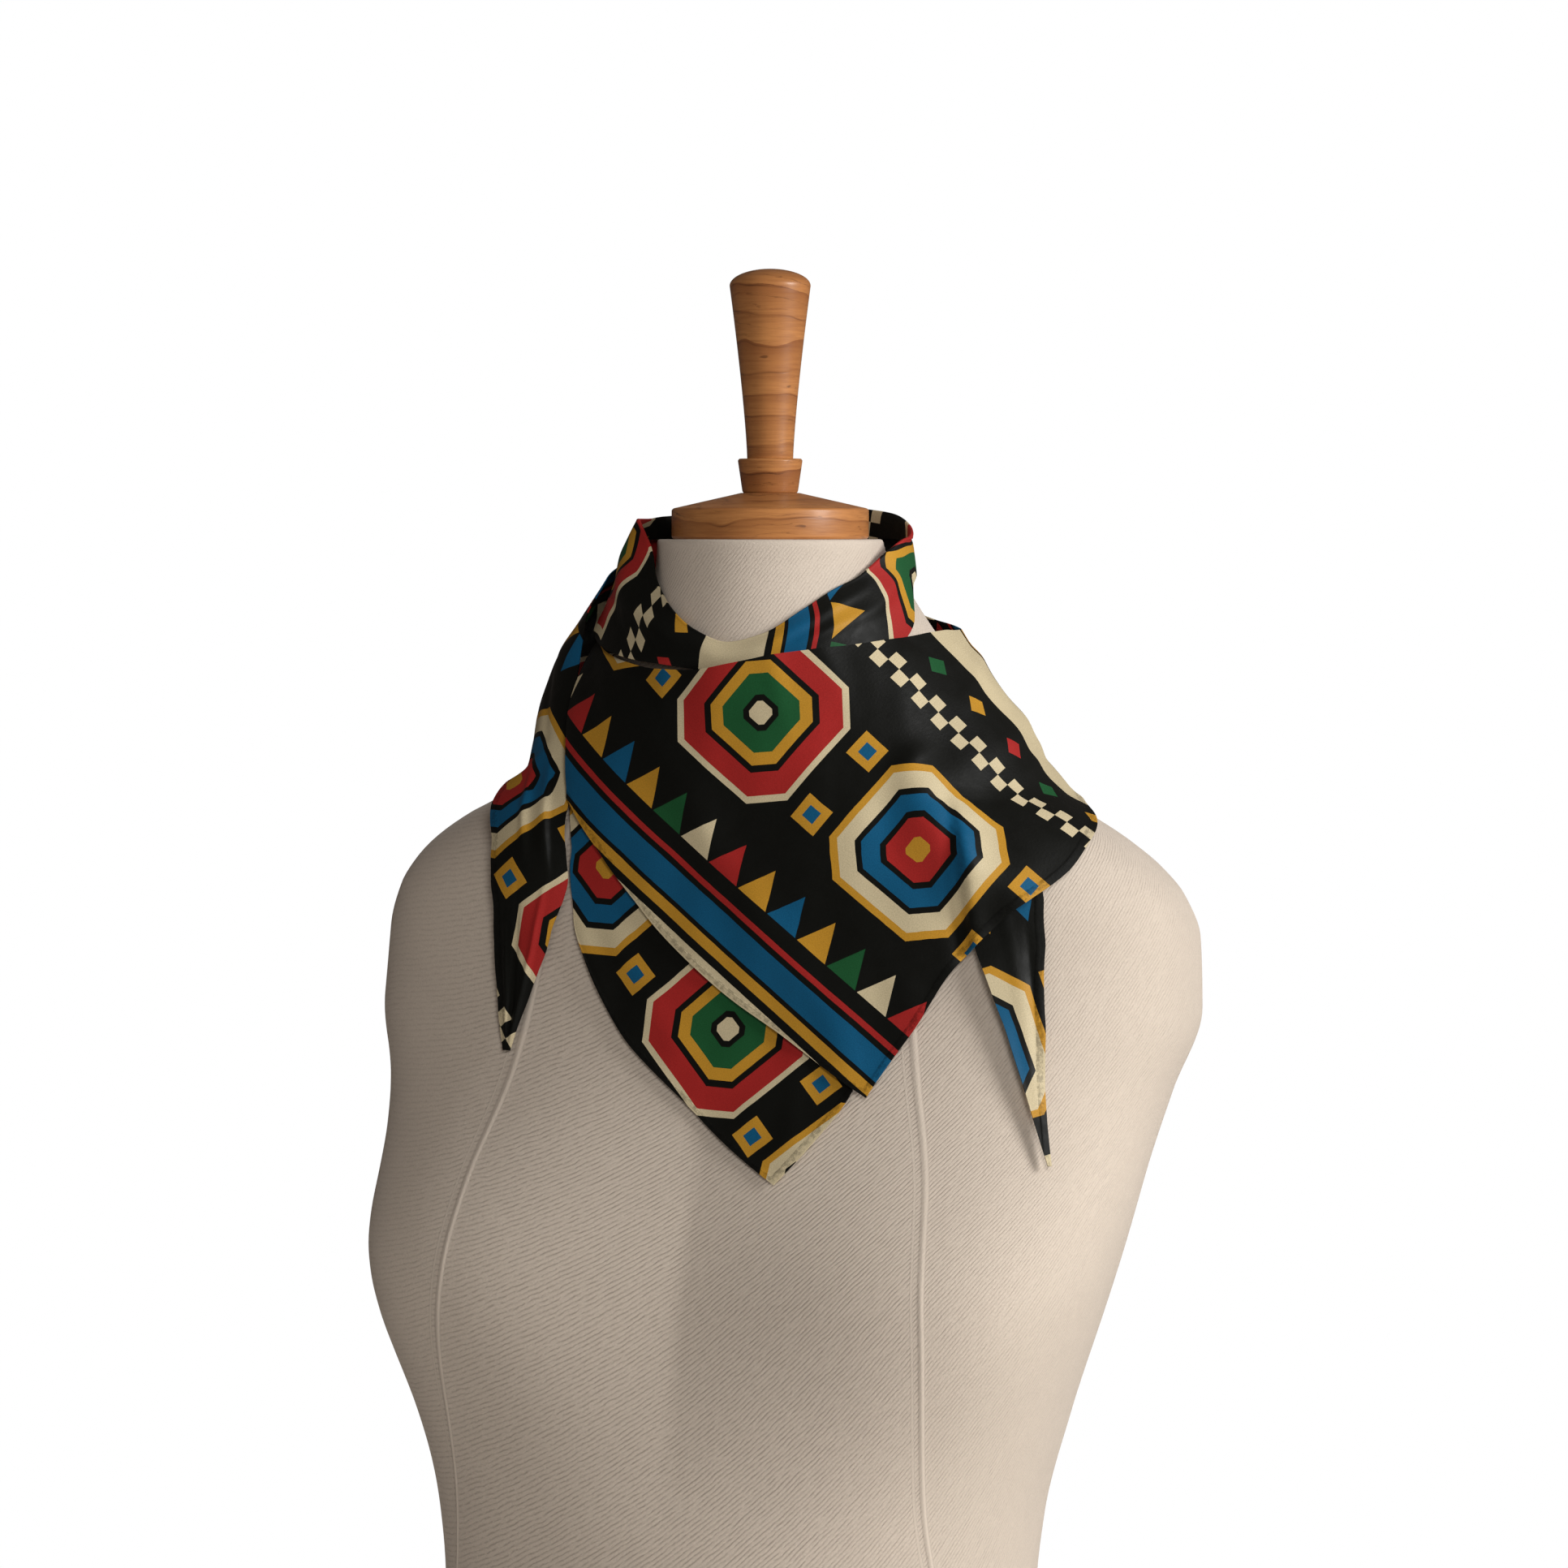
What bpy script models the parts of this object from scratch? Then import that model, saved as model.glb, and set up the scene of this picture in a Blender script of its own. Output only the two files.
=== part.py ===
"""Silk scarf worn bandana-style on a limbless dress form.

A square of silk is folded corner to corner into a triangle. Its long folded side goes round the
neck of the form, its point hangs in front in two layers, and its two narrow ends cross at the nape
and come forward again over the shoulders, where they hang as tails.

Lengths are in millimetres and angles in degrees, and each mesh is made in metres. A place on the
form is given by three numbers: the angle round it (0 at the wearer's left, 90 at the back, 180 at
the wearer's right, 270 at the front), the drop below the top of the neck, and the lift of the
cloth's outer face off the form's surface. The form faces -Y and stands on z = 0, with the origin at
the middle of its flat base.
"""

import math

import bmesh
import bpy
import numpy as np

MM = 0.001
SEAT_GAP = 0.3


def table(columns, *rows):
    """A table of sizes as one array for each named column. The first column is its key."""
    return dict(zip(columns.split(), np.array(rows, float).T))


# Dress form: level sections from just above the neck down to the base
NECK_TOP = 690.0
FORM_RINGS = 37
FORM_SIDES = 48
FORM = table(
    "drop half_width middle front back squareness",
    (-40, 48.6, 0, -48.6, 48.6, 2.0),
    (0, 48.6, 0, -48.6, 48.6, 2.0),
    (20, 55, 15, -49.5, 60, 2.0),
    (40, 66, 20, -51, 73, 2.0),
    (60, 84, 18, -53, 85, 2.0),
    (80, 101, 15, -55, 95, 2.0),
    (100, 115, 11, -57, 103, 2.05),
    (112, 126, 9, -58, 106, 2.1),
    (120, 141, 9, -58.5, 108, 2.15),
    (130, 156, 10, -59, 110, 2.25),
    (140, 167, 14, -60, 112, 2.35),
    (152, 176, 19, -61, 113, 2.4),
    (170, 182, 24, -64, 114, 2.4),
    (200, 183, 23, -69, 112, 2.4),
    (235, 171, 14, -78, 107, 2.4),
    (270, 159, 5, -92, 100, 2.4),
    (306, 150, -8, -106, 91, 2.4),
    (329, 145, -15, -112, 84, 2.4),
    (370, 137, -26, -121, 71, 2.35),
    (410, 131, -36, -128, 58, 2.2),
    (443, 129, -39, -131, 53, 2.1),
    (490, 128, -40, -137, 58, 2.1),
    (530, 134, -38, -143, 67, 2.1),
    (590, 151, -33, -150, 84, 2.1),
    (650, 163, -29, -153, 95, 2.1),
    (690, 166, -28, -152, 96, 2.1),
)
BUST = {"drop": 305.0, "angle": 36.0, "spread": 27.0, "reach": 30.0, "above": 44.0, "below": 46.0}

# Turned wood cap and finial on the neck, as radius and height, from axis to axis
CAP_SIDES = 40
CAP = ((0, 0), (41.6, 0), (42.4, 0.8), (42.4, 12.2), (41.6, 13.0), (12.6, 19.6), (0, 19.6))
COLLAR = ((0, 0), (11.6, 0), (12.0, 0.6), (13.9, 13.6), (13.3, 14.4), (0, 14.4))
HANDLE = {"height": 81.0, "foot": 10.6, "top": 18.4, "dome": 11.0, "steps": 8}

# Silk: one wall stands for two thin layers, and the neck wrap for a fold of four
PANEL_WALL = 1.3
WRAP_WALL = 2.0
RIB_STEPS = 2

# Neck wrap: a standing roll, read by the angle round the form
WRAP_SIDES = 60
WRAP_ROWS = 11
WRAP_BELLY = 0.45
WRAP = table(
    "angle top_drop top_lift belly_drop belly_lift foot_drop foot_lift",
    (0, 4.8, 7.8, 11, 8.3, 20.5, 5.5),
    (8, 3, 9.5, 9, 10, 18.5, 6),
    (20, 0, 12, 7, 12, 17, 7),
    (50, -9, 12, 4, 12, 20, 9),
    (80, -13, 11, 6, 12, 25, 10),
    (110, -12, 10, 5, 12, 25, 10),
    (140, -10, 10, 4, 13, 23, 10),
    (165, -9, 9.5, 6, 14, 25, 11),
    (180, -8, 9, 10, 15, 34, 14),
    (200, -8, 9, 16, 17, 45, 15),
    (212, 1, 6, 24, 16, 50, 13),
    (224, 13, 4, 32, 12, 52.5, 10.5),
    (236, 23, 2.7, 38, 8, 53.5, 9),
    (248, 32, 2.7, 43, 6.5, 54, 7),
    (258, 39, 2.7, 47, 5.5, 55, 4.4),
    (270, 44, 2.7, 50, 5, 58, 3.6),
    (282, 40.5, 2.7, 47, 5.5, 57, 3.6),
    (296, 30.5, 2.7, 39, 6.5, 56, 3.6),
    (310, 22, 2.8, 32, 7, 54, 3.6),
    (322, 17.5, 3.2, 27, 7, 52.5, 4),
    (332, 13.5, 3.8, 23, 7, 46, 4.5),
    (341, 10.5, 4.6, 19, 7, 38.5, 5),
    (350, 7.5, 6, 15, 7.5, 28.5, 5),
)

# Panels and tails: ribs across the cloth, each from its near edge (by the neck) to its far edge
OVER_PANEL = table(
    "rib near_angle near_drop near_lift middle_lift far_angle far_drop far_lift",
    (0, 210, 50, 11, 9.5, 218, 112, 5),
    (1, 220, 52.5, 7.5, 8, 229, 130, 4.6),
    (2, 232, 54.5, 6.6, 7.5, 241, 147, 4.3),
    (3, 246, 56, 6, 7, 254, 166, 4.3),
    (4, 260, 55.5, 6.8, 7, 272, 189, 4.3),
    (5, 273, 52.5, 7.5, 7, 289, 210, 4.3),
    (6, 285, 49.5, 8, 7, 307, 232, 4.3),
    (7, 293, 48.5, 8, 7, 312, 216, 4.6),
    (8, 301, 48, 8, 7, 317, 200, 5),
    (9, 309, 47.5, 8, 7, 322, 182, 6),
    (10, 317, 47, 8, 7.5, 327, 168, 7),
    (11, 326, 46, 7.5, 7.2, 334, 152, 7),
    (12, 335, 45, 7, 6.4, 341, 142, 6),
    (13, 344, 44.5, 8, 6, 350, 129, 5.3),
    (14, 353, 44.5, 9, 5.6, 357, 122, 5),
    (15, 362, 45, 9, 5.6, 363, 117, 5),
    (16, 372, 45, 9, 5.6, 373, 114, 5),
    (17, 384, 42, 8, 6, 386, 108, 5.2),
    (18, 398, 37, 6.4, 7, 401, 99, 6),
    (19, 414, 30, 6.4, 8, 416, 87, 6.4),
    (20, 430, 25, 6.4, 9, 431, 73, 7),
)
OVER_POINT = 6
UNDER_PANEL = table(
    "rib near_angle near_drop near_lift middle_lift far_angle far_drop far_lift",
    (0, 210, 82, 2, 2.2, 232, 165, 2.2),
    (1, 220, 80, 2, 2.2, 238, 186, 2.2),
    (2, 232, 79, 2, 2.2, 248, 211, 2.2),
    (3, 246, 78, 2, 2.2, 268, 240, 2.2),
    (4, 261, 77, 2, 2.2, 288, 267, 2.2),
    (5, 275, 77, 2, 2.2, 296, 250, 2.2),
    (6, 288, 78, 2, 2.2, 304, 230, 2.2),
    (7, 299, 79, 2, 2.2, 309, 202, 2.2),
    (8, 305, 80, 2, 2.2, 310, 168, 2.2),
)
UNDER_POINT = 4
LEFT_TAIL = table(
    "rib near_angle near_drop near_lift middle_lift far_angle far_drop far_lift",
    (0, 70.5, 25, 6.4, 9, 71.5, 73, 7),
    (1, 92, 24, 6.4, 10, 92, 71, 7),
    (2, 120, 24, 6.6, 12, 119, 71, 7),
    (3, 146, 25, 8, 15, 144, 74, 7),
    (4, 166, 25.5, 14, 18, 161, 78, 7),
    (5, 182, 19, 20, 20, 174, 81, 7),
    (6, 196, 24, 21, 21, 184, 82, 7.5),
    (7, 204, 42, 21, 18, 191, 84, 7.5),
    (8, 209, 61, 11, 12, 198, 90, 7),
    (9, 211.5, 78, 6, 8, 203, 99, 6.5),
    (10, 214.5, 97, 4, 8, 201.5, 107, 6),
    (11, 218, 112, 3.6, 9, 199, 117, 6),
    (12, 221, 128, 3.4, 9.5, 206, 133, 5.5),
    (13, 227, 149, 3.2, 8.5, 213, 148, 5),
    (14, 227.5, 168, 3, 6.5, 217, 168, 4.5),
    (15, 226, 187, 2.6, 5, 219, 186, 3.6),
    (16, 224.6, 218, 2.2, 2.4, 223.2, 218, 2.2),
)
RIGHT_TAIL = table(
    "rib near_angle near_drop near_lift middle_lift far_angle far_drop far_lift",
    (0, 206, 66, 2.2, 2.4, 200, 86, 2.2),
    (1, 182, 52, 2.2, 2.4, 177, 76, 2.2),
    (2, 154, 44, 2.2, 2.4, 152, 70, 2.2),
    (3, 128, 40, 2.2, 2.4, 126, 66, 2.2),
    (4, 102, 38, 2.2, 2.4, 101, 66, 2.2),
    (5, 76, 38, 2.2, 2.4, 76, 66, 2.2),
    (6, 52, 41, 2.2, 2.4, 53, 74, 2.2),
    (7, 30, 47, 2.2, 2.4, 34, 86, 2.2),
    (8, 10, 54, 2.2, 2.4, 17, 98, 2.2),
    (9, -8, 68, 2.2, 2.4, 4, 108, 2.2),
    (10, -22, 92, 2.2, 2.4, -8, 117, 2.2),
    (11, -31, 124, 2.2, 2.4, -19, 127, 2.2),
    (12, -34, 150, 2.6, 2.8, -22.5, 147, 2.4),
    (13, -33, 169, 4, 3.6, -25.5, 166, 2.8),
    (14, -32, 184, 7, 5.5, -26.6, 187, 4),
    (15, -31, 208, 7, 5.5, -26.9, 208, 4),
    (16, -28.6, 233, 6, 5, -26, 238, 4.4),
    (17, -26.6, 259, 5, 5, -26, 259, 5),
)

# Folds: soft ridges (or troughs, if negative) along a line from one place on the cloth to another
OVER_FOLDS = table(
    "start_rib start_across end_rib end_across width height",
    (10.6, 0.45, 11.0, 1.0, 0.5, 3.5),
    (9.6, 0.55, 9.7, 1.0, 0.5, -0.8),
    (11.5, 0.55, 18.0, 0.52, 0.8, 1.6),
    (12.5, 0.92, 17.0, 0.88, 0.7, 0.8),
    (2.0, 0.10, 5.2, 0.75, 0.7, 1.6),
)
ACROSS_RIBS = 8.0

COLOURS = {
    "jersey": ((0.48, 0.41, 0.34), 0.9),
    "wood": ((0.33, 0.14, 0.05), 0.38),
    "silk": ((0.012, 0.012, 0.012), 0.45),
}


def curve_through(keys, values, at):
    """A smooth curve through a column of a table that never swings past its rows."""
    at = np.clip(at, keys[0], keys[-1])
    step = np.diff(keys)
    rise = np.diff(values) / step
    slope = np.zeros(len(keys))
    slope[0] = rise[0]
    slope[-1] = rise[-1]
    for i in range(1, len(keys) - 1):
        if rise[i - 1] * rise[i] > 0:
            before = 2 * step[i] + step[i - 1]
            after = step[i] + 2 * step[i - 1]
            slope[i] = (before + after) / (before / rise[i - 1] + after / rise[i])
    i = np.clip(np.searchsorted(keys, at, side="right") - 1, 0, len(keys) - 2)
    t = (at - keys[i]) / step[i]
    start = (2 * t**3 - 3 * t**2 + 1) * values[i] + (t**3 - 2 * t**2 + t) * step[i] * slope[i]
    end = (3 * t**2 - 2 * t**3) * values[i + 1] + (t**3 - t**2) * step[i] * slope[i + 1]
    return start + end


def read(rows, name, at):
    """One named column of a table, at a value of its key column."""
    return curve_through(next(iter(rows.values())), rows[name], at)


def read_round(rows, name, angle):
    """One named column of a table whose key is an angle, joined up round the circle."""
    keys = np.concatenate([rows["angle"] - 360, rows["angle"], rows["angle"] + 360])
    return curve_through(keys, np.tile(rows[name], 3), angle)


def read_cornered(rows, name, rib, corner):
    """One named column of a rib table, with a sharp corner at one rib."""
    keys = rows["rib"]
    values = rows[name]
    before = curve_through(keys[: corner + 1], values[: corner + 1], rib)
    after = curve_through(keys[corner:], values[corner:], rib)
    return np.where(rib < corner, before, after)


def form_surface(angle, drop):
    """The point of the form's surface at an angle round it and a drop below its neck."""
    angle, drop = np.broadcast_arrays(np.asarray(angle, float), np.asarray(drop, float))
    half, middle, front, back, square = (read(FORM, name, drop) for name in list(FORM)[1:])
    turn = np.radians(angle)
    side = np.cos(turn)
    ahead = np.sin(turn)
    depth = np.where(ahead < 0, middle - front, back - middle)
    reach = (np.abs(side / half) ** square + np.abs(ahead / depth) ** square) ** (-1 / square)
    x = reach * side
    y = middle + reach * ahead
    off_side = np.degrees(np.arctan2(-ahead, np.abs(side)))
    height = np.where(drop < BUST["drop"], BUST["above"], BUST["below"])
    round_it = (off_side - BUST["angle"]) / BUST["spread"]
    down_it = (drop - BUST["drop"]) / height
    bust = BUST["reach"] * np.exp(-0.5 * (round_it**2 + down_it**2))
    x = x + np.tanh(x / 25) * bust * math.cos(math.radians(BUST["angle"]))
    y = y - bust * math.sin(math.radians(BUST["angle"]))
    return np.stack([x, y, NECK_TOP - drop], axis=-1)


def on_form(angle, drop, lift=0.0):
    """A point lifted off the form's surface, square to it."""
    angle, drop, lift = np.broadcast_arrays(angle, drop, lift)
    turned = form_surface(angle + 0.5, drop) - form_surface(angle - 0.5, drop)
    lowered = form_surface(angle, drop + 1.0) - form_surface(angle, drop - 1.0)
    out = np.cross(lowered, turned)
    out /= np.linalg.norm(out, axis=-1, keepdims=True)
    return form_surface(angle, drop) + lift[..., None] * out


def fold_lift(folds, rib, across):
    """How far the folds raise the cloth at a rib and a share of the way across it."""
    raised = np.zeros(np.broadcast(rib, across).shape)
    for i in range(len(folds["height"])):
        start = np.array([folds["start_rib"][i], folds["start_across"][i] * ACROSS_RIBS])
        way = np.array([folds["end_rib"][i], folds["end_across"][i] * ACROSS_RIBS]) - start
        length = math.hypot(*way)
        east = rib - start[0]
        south = across * ACROSS_RIBS - start[1]
        along = (east * way[0] + south * way[1]) / length
        aside = (east * way[1] - south * way[0]) / length
        beyond = np.maximum(0, np.maximum(-along, along - length))
        raised += folds["height"][i] * np.exp(-((aside**2 + beyond**2) / folds["width"][i] ** 2))
    return raised


def ribbed_cloth(ribs, rows, corner=None, folds=None):
    """The outer face of a cloth that spans its ribs, as a grid of points."""
    count = (len(ribs["rib"]) - 1) * RIB_STEPS + 1
    rib = np.linspace(0, ribs["rib"][-1], count)[None, :]
    across = np.linspace(0, 1, rows)[:, None]
    held = {}
    for name in list(ribs)[1:]:
        held[name] = read_cornered(ribs, name, rib, corner) if corner else read(ribs, name, rib)
    angle = held["near_angle"] + (held["far_angle"] - held["near_angle"]) * across
    drop = held["near_drop"] + (held["far_drop"] - held["near_drop"]) * across
    near = held["near_lift"] * (1 - across) * (1 - 2 * across)
    middle = held["middle_lift"] * 4 * across * (1 - across)
    far = held["far_lift"] * across * (2 * across - 1)
    lift = near + middle + far
    if folds is not None:
        lift = lift + fold_lift(folds, rib, across)
    return on_form(angle, drop, lift)


def wrapped_cloth():
    """The outer face of the neck wrap, from its top edge over its belly to its foot."""
    angle = (np.arange(WRAP_SIDES) * 360 / WRAP_SIDES)[None, :]
    down = np.linspace(0, 1, WRAP_ROWS)[:, None]
    held = {name: read_round(WRAP, name, angle) for name in list(WRAP)[1:]}
    upper = np.clip(down / WRAP_BELLY, 0, 1)
    lower = np.clip((down - WRAP_BELLY) / (1 - WRAP_BELLY), 0, 1)
    drop = held["top_drop"] + (held["belly_drop"] - held["top_drop"]) * upper
    drop = drop + (held["foot_drop"] - held["belly_drop"]) * lower
    swell = np.sin(upper * math.pi / 2)
    ease = lower**1.5
    lift = held["top_lift"] + (held["belly_lift"] - held["top_lift"]) * swell
    lift = lift + (held["foot_lift"] - held["belly_lift"]) * ease
    return on_form(angle, drop, lift)


def material_of(name):
    colour, roughness = COLOURS[name]
    found = bpy.data.materials.new(name)
    found.use_nodes = True
    shader = found.node_tree.nodes["Principled BSDF"]
    shader.inputs["Base Color"].default_value = (*colour, 1.0)
    shader.inputs["Roughness"].default_value = roughness
    shader.inputs["Metallic"].default_value = 0.0
    return found


def add_mesh(name, points, faces, material):
    """Makes an object of points in millimetres, with its faces turned outwards."""
    mesh = bpy.data.meshes.new(name)
    mesh.from_pydata((np.asarray(points) * MM).tolist(), [], faces)
    shape = bmesh.new()
    shape.from_mesh(mesh)
    bmesh.ops.recalc_face_normals(shape, faces=shape.faces)
    shape.to_mesh(mesh)
    shape.free()
    mesh.materials.append(material_of(material))
    mesh.shade_smooth()
    mesh.set_sharp_from_angle(angle=math.radians(40))
    made = bpy.data.objects.new(name, mesh)
    bpy.context.scene.collection.objects.link(made)
    return made


def quads(rows, columns, first=0, closed=False):
    """Faces between neighbouring rows of points, joined up round the rows when closed."""
    faces = []
    for i in range(rows - 1):
        for j in range(columns if closed else columns - 1):
            here = first + i * columns
            below = here + columns
            k = (j + 1) % columns
            faces.append((here + j, here + k, below + k, below + j))
    return faces


def rim(rows, columns, closed):
    """The points round the edges of a grid: one loop of an open cloth, two of a closed one."""
    top = list(range(columns))
    foot = list(range((rows - 1) * columns, rows * columns))
    if closed:
        return [top, foot[::-1]]
    right = [i * columns + columns - 1 for i in range(1, rows - 1)]
    left = [i * columns for i in range(1, rows - 1)]
    return [top + right + foot[::-1] + left[::-1]]


def add_cloth(name, outer, wall, closed=False):
    """A wall of even thickness inside a grid of outer points."""
    rows, columns = outer.shape[:2]
    if closed:
        around = np.roll(outer, -1, axis=1) - np.roll(outer, 1, axis=1)
    else:
        around = np.gradient(outer, axis=1)
    out = np.cross(np.gradient(outer, axis=0), around)
    out /= np.linalg.norm(out, axis=-1, keepdims=True)
    inner = outer - wall * out
    points = np.concatenate([outer.reshape(-1, 3), inner.reshape(-1, 3)])
    count = rows * columns
    faces = quads(rows, columns, 0, closed)
    faces += [face[::-1] for face in quads(rows, columns, count, closed)]
    for loop in rim(rows, columns, closed):
        for a, b in zip(loop, loop[1:] + loop[:1]):
            faces.append((b, a, a + count, b + count))
    return add_mesh(name, points, faces, "silk")


def add_turned(name, profile, base):
    """A wooden solid of revolution about the neck's axis."""
    edge = profile[1:-1]
    points = []
    for radius, height in edge:
        for side in range(CAP_SIDES):
            turn = 2 * math.pi * side / CAP_SIDES
            points.append((radius * math.cos(turn), radius * math.sin(turn), base + height))
    faces = quads(len(edge), CAP_SIDES, closed=True)
    faces.append(tuple(range(CAP_SIDES)))
    faces.append(tuple(range(len(points) - CAP_SIDES, len(points))))
    return add_mesh(name, points, faces, "wood")


def handle_profile():
    """A tapered grip, widest near the top, under a low dome."""
    steps = HANDLE["steps"]
    straight = HANDLE["height"] - HANDLE["dome"]
    profile = [(0, 0), (HANDLE["foot"], 0)]
    for i in range(1, steps):
        up = i / (steps - 1)
        profile.append((HANDLE["foot"] + (HANDLE["top"] - HANDLE["foot"]) * up**1.15, straight * up))
    for i in range(1, steps):
        turn = math.radians(86 * i / (steps - 1))
        profile.append((HANDLE["top"] * math.cos(turn), straight + HANDLE["dome"] * math.sin(turn)))
    profile.append((0, HANDLE["height"]))
    return profile


def add_form():
    """The dress form: a closed lofted body with a flat neck and a flat base."""
    drops = np.linspace(0, NECK_TOP, FORM_RINGS)[:, None]
    angles = (np.arange(FORM_SIDES) * 360 / FORM_SIDES)[None, :]
    points = form_surface(angles, drops).reshape(-1, 3)
    faces = quads(FORM_RINGS, FORM_SIDES, closed=True)
    faces.append(tuple(range(FORM_SIDES)))
    faces.append(tuple(range(len(points) - FORM_SIDES, len(points))))
    return add_mesh("form_torso", points, faces, "jersey")


def main():
    for old in list(bpy.data.objects):
        bpy.data.objects.remove(old)
    add_form()
    cap_base = NECK_TOP + SEAT_GAP
    collar_base = cap_base + CAP[-1][1] + SEAT_GAP
    handle_base = collar_base + COLLAR[-1][1] + SEAT_GAP
    add_turned("neck_cap", CAP, cap_base)
    add_turned("finial_collar", COLLAR, collar_base)
    add_turned("finial_handle", handle_profile(), handle_base)
    add_cloth("neck_wrap", wrapped_cloth(), WRAP_WALL, closed=True)
    add_cloth("front_under_panel", ribbed_cloth(UNDER_PANEL, 16, UNDER_POINT), PANEL_WALL)
    add_cloth("front_over_panel", ribbed_cloth(OVER_PANEL, 17, OVER_POINT, OVER_FOLDS), PANEL_WALL)
    add_cloth("left_tail", ribbed_cloth(LEFT_TAIL, 11), PANEL_WALL)
    add_cloth("right_tail", ribbed_cloth(RIGHT_TAIL, 8), PANEL_WALL)


main()
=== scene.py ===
import math
from functools import partial

import bpy
import numpy as np
from mathutils import Matrix, Vector


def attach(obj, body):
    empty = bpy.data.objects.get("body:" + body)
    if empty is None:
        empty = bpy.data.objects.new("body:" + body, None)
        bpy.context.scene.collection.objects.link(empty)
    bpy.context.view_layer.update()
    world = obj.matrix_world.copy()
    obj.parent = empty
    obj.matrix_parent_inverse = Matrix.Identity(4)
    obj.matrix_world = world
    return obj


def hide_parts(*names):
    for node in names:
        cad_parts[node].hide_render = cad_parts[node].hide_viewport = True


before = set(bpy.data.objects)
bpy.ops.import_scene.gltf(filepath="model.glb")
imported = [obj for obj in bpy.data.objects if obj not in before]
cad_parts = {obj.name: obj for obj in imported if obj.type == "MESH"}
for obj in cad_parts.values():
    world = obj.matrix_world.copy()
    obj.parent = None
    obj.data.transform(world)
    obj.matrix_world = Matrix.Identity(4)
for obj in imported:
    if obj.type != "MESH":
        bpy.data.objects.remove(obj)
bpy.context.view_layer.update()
mm = 0.001


def table(columns, *rows):  # one array for each named column, the first one is the key
    return dict(zip(columns.split(), np.array(rows, float).T))


def show(made):
    bpy.context.scene.collection.objects.link(made)
    return made


# Camera: level with the neck and turned to the form's left, as the photo was taken
view = {"turn": 20.0, "distance": 2.25, "aside": 0.00595, "height": 0.6935, "aimHeight": 0.58465, "lens": 120}


def addCamera():
    turn = math.radians(view["turn"])
    right = Vector((math.cos(turn), math.sin(turn), 0))
    towards = Vector((math.sin(turn), -math.cos(turn), 0))
    place = right * view["aside"] + towards * view["distance"] + Vector((0, 0, view["height"]))
    aim = right * view["aside"] + Vector((0, 0, view["aimHeight"]))
    lens = bpy.data.cameras.new("photoCamera")
    lens.lens = view["lens"]
    lens.sensor_width = 36
    lens.clip_end = 50
    camera = show(bpy.data.objects.new("photoCamera", lens))
    ahead = (aim - place).normalized()
    turned = Matrix((right, right.cross(ahead), -ahead)).transposed().to_4x4()
    camera.matrix_world = Matrix.Translation(place) @ turned
    bpy.context.scene.camera = camera


# Studio: soft boxes placed by their bearing round the form (0 at its left, 270 at its front)
studio = {
    "boxes": (  # name, bearing, reach, height, size, power, and whether it shows as a highlight
        ("keyBox", 352, 2.3, 1.35, 1.0, 55, True),
        ("frontBox", 300, 2.8, 1.6, 0.9, 29, False),
        ("leftBox", 256, 2.6, 1.2, 0.9, 2, False),
        ("backBox", 100, 2.6, 1.7, 1.4, 24, False),
    ),
    "aimHeight": 0.5,
    "sky": 0.097,
    "skyColour": (1.0, 0.86, 0.76, 1),
    "floorSockets": {"Base Color": (0.84, 0.82, 0.79, 1), "Roughness": 0.8},
    "floorRadius": 1.15,
    "floorFade": 0.45,  # from here out the floor melts into white
}


def addStudio():
    for name, bearing, reach, height, size, power, shine in studio["boxes"]:
        lamp = bpy.data.lights.new(name, "AREA")
        lamp.shape = "DISK"
        lamp.size = size
        lamp.energy = power
        box = show(bpy.data.objects.new(name, lamp))
        box.visible_glossy = shine
        turn = math.radians(bearing)
        place = Vector((math.cos(turn) * reach, math.sin(turn) * reach, height))
        box.location = place
        box.rotation_euler = (Vector((0, 0, studio["aimHeight"])) - place).to_track_quat("-Z", "Y").to_euler()
    world = bpy.data.worlds.new("softSky")
    world.use_nodes = True
    bench["tree"] = world.node_tree
    sky = world.node_tree.nodes["Background"]
    sky.inputs["Color"].default_value = studio["skyColour"]
    sky.inputs["Strength"].default_value = studio["sky"]
    seen = addNode("Background")
    seen.inputs["Color"].default_value = (1, 1, 1, 1)
    path = addNode("LightPath")
    mixShaders(path.outputs["Is Camera Ray"], sky, seen, world.node_tree.nodes["World Output"])
    bpy.context.scene.world = world
    bpy.context.scene.view_settings.view_transform = "Standard"
    bpy.ops.object.select_all(action="DESELECT")
    bpy.ops.mesh.primitive_circle_add(vertices=128, radius=studio["floorRadius"], fill_type="NGON")
    floor = bpy.context.object
    floor.name = "floor"
    floor.data.materials.append(floorFinish())


# Materials: small helpers that wire up the node tree that lies on the bench
bench = {}


def newFinish(name, sockets):  # sockets: what is the same all over the surface
    finish = bpy.data.materials.new(name)
    finish.use_nodes = True
    bench["tree"] = finish.node_tree
    shader = finish.node_tree.nodes["Principled BSDF"]
    for socket, value in sockets.items():
        shader.inputs[socket].default_value = value
    return finish, shader


def addNode(kind):
    return bench["tree"].nodes.new("ShaderNode" + kind)


def join(source, socket):
    bench["tree"].links.new(source, socket)


def plug(socket, value):
    if isinstance(value, bpy.types.NodeSocket):
        join(value, socket)
    else:
        socket.default_value = value


def mixShaders(share, first, second, output):
    mix = addNode("MixShader")
    for socket, value in zip(mix.inputs, (share, first.outputs[0], second.outputs[0])):
        join(value, socket)
    join(mix.outputs[0], output.inputs[0])


def calc(operation, *values):
    node = addNode("Math")
    node.operation = operation
    for socket, value in zip(node.inputs, values):
        plug(socket, value)
    return node.outputs[0]


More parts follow.
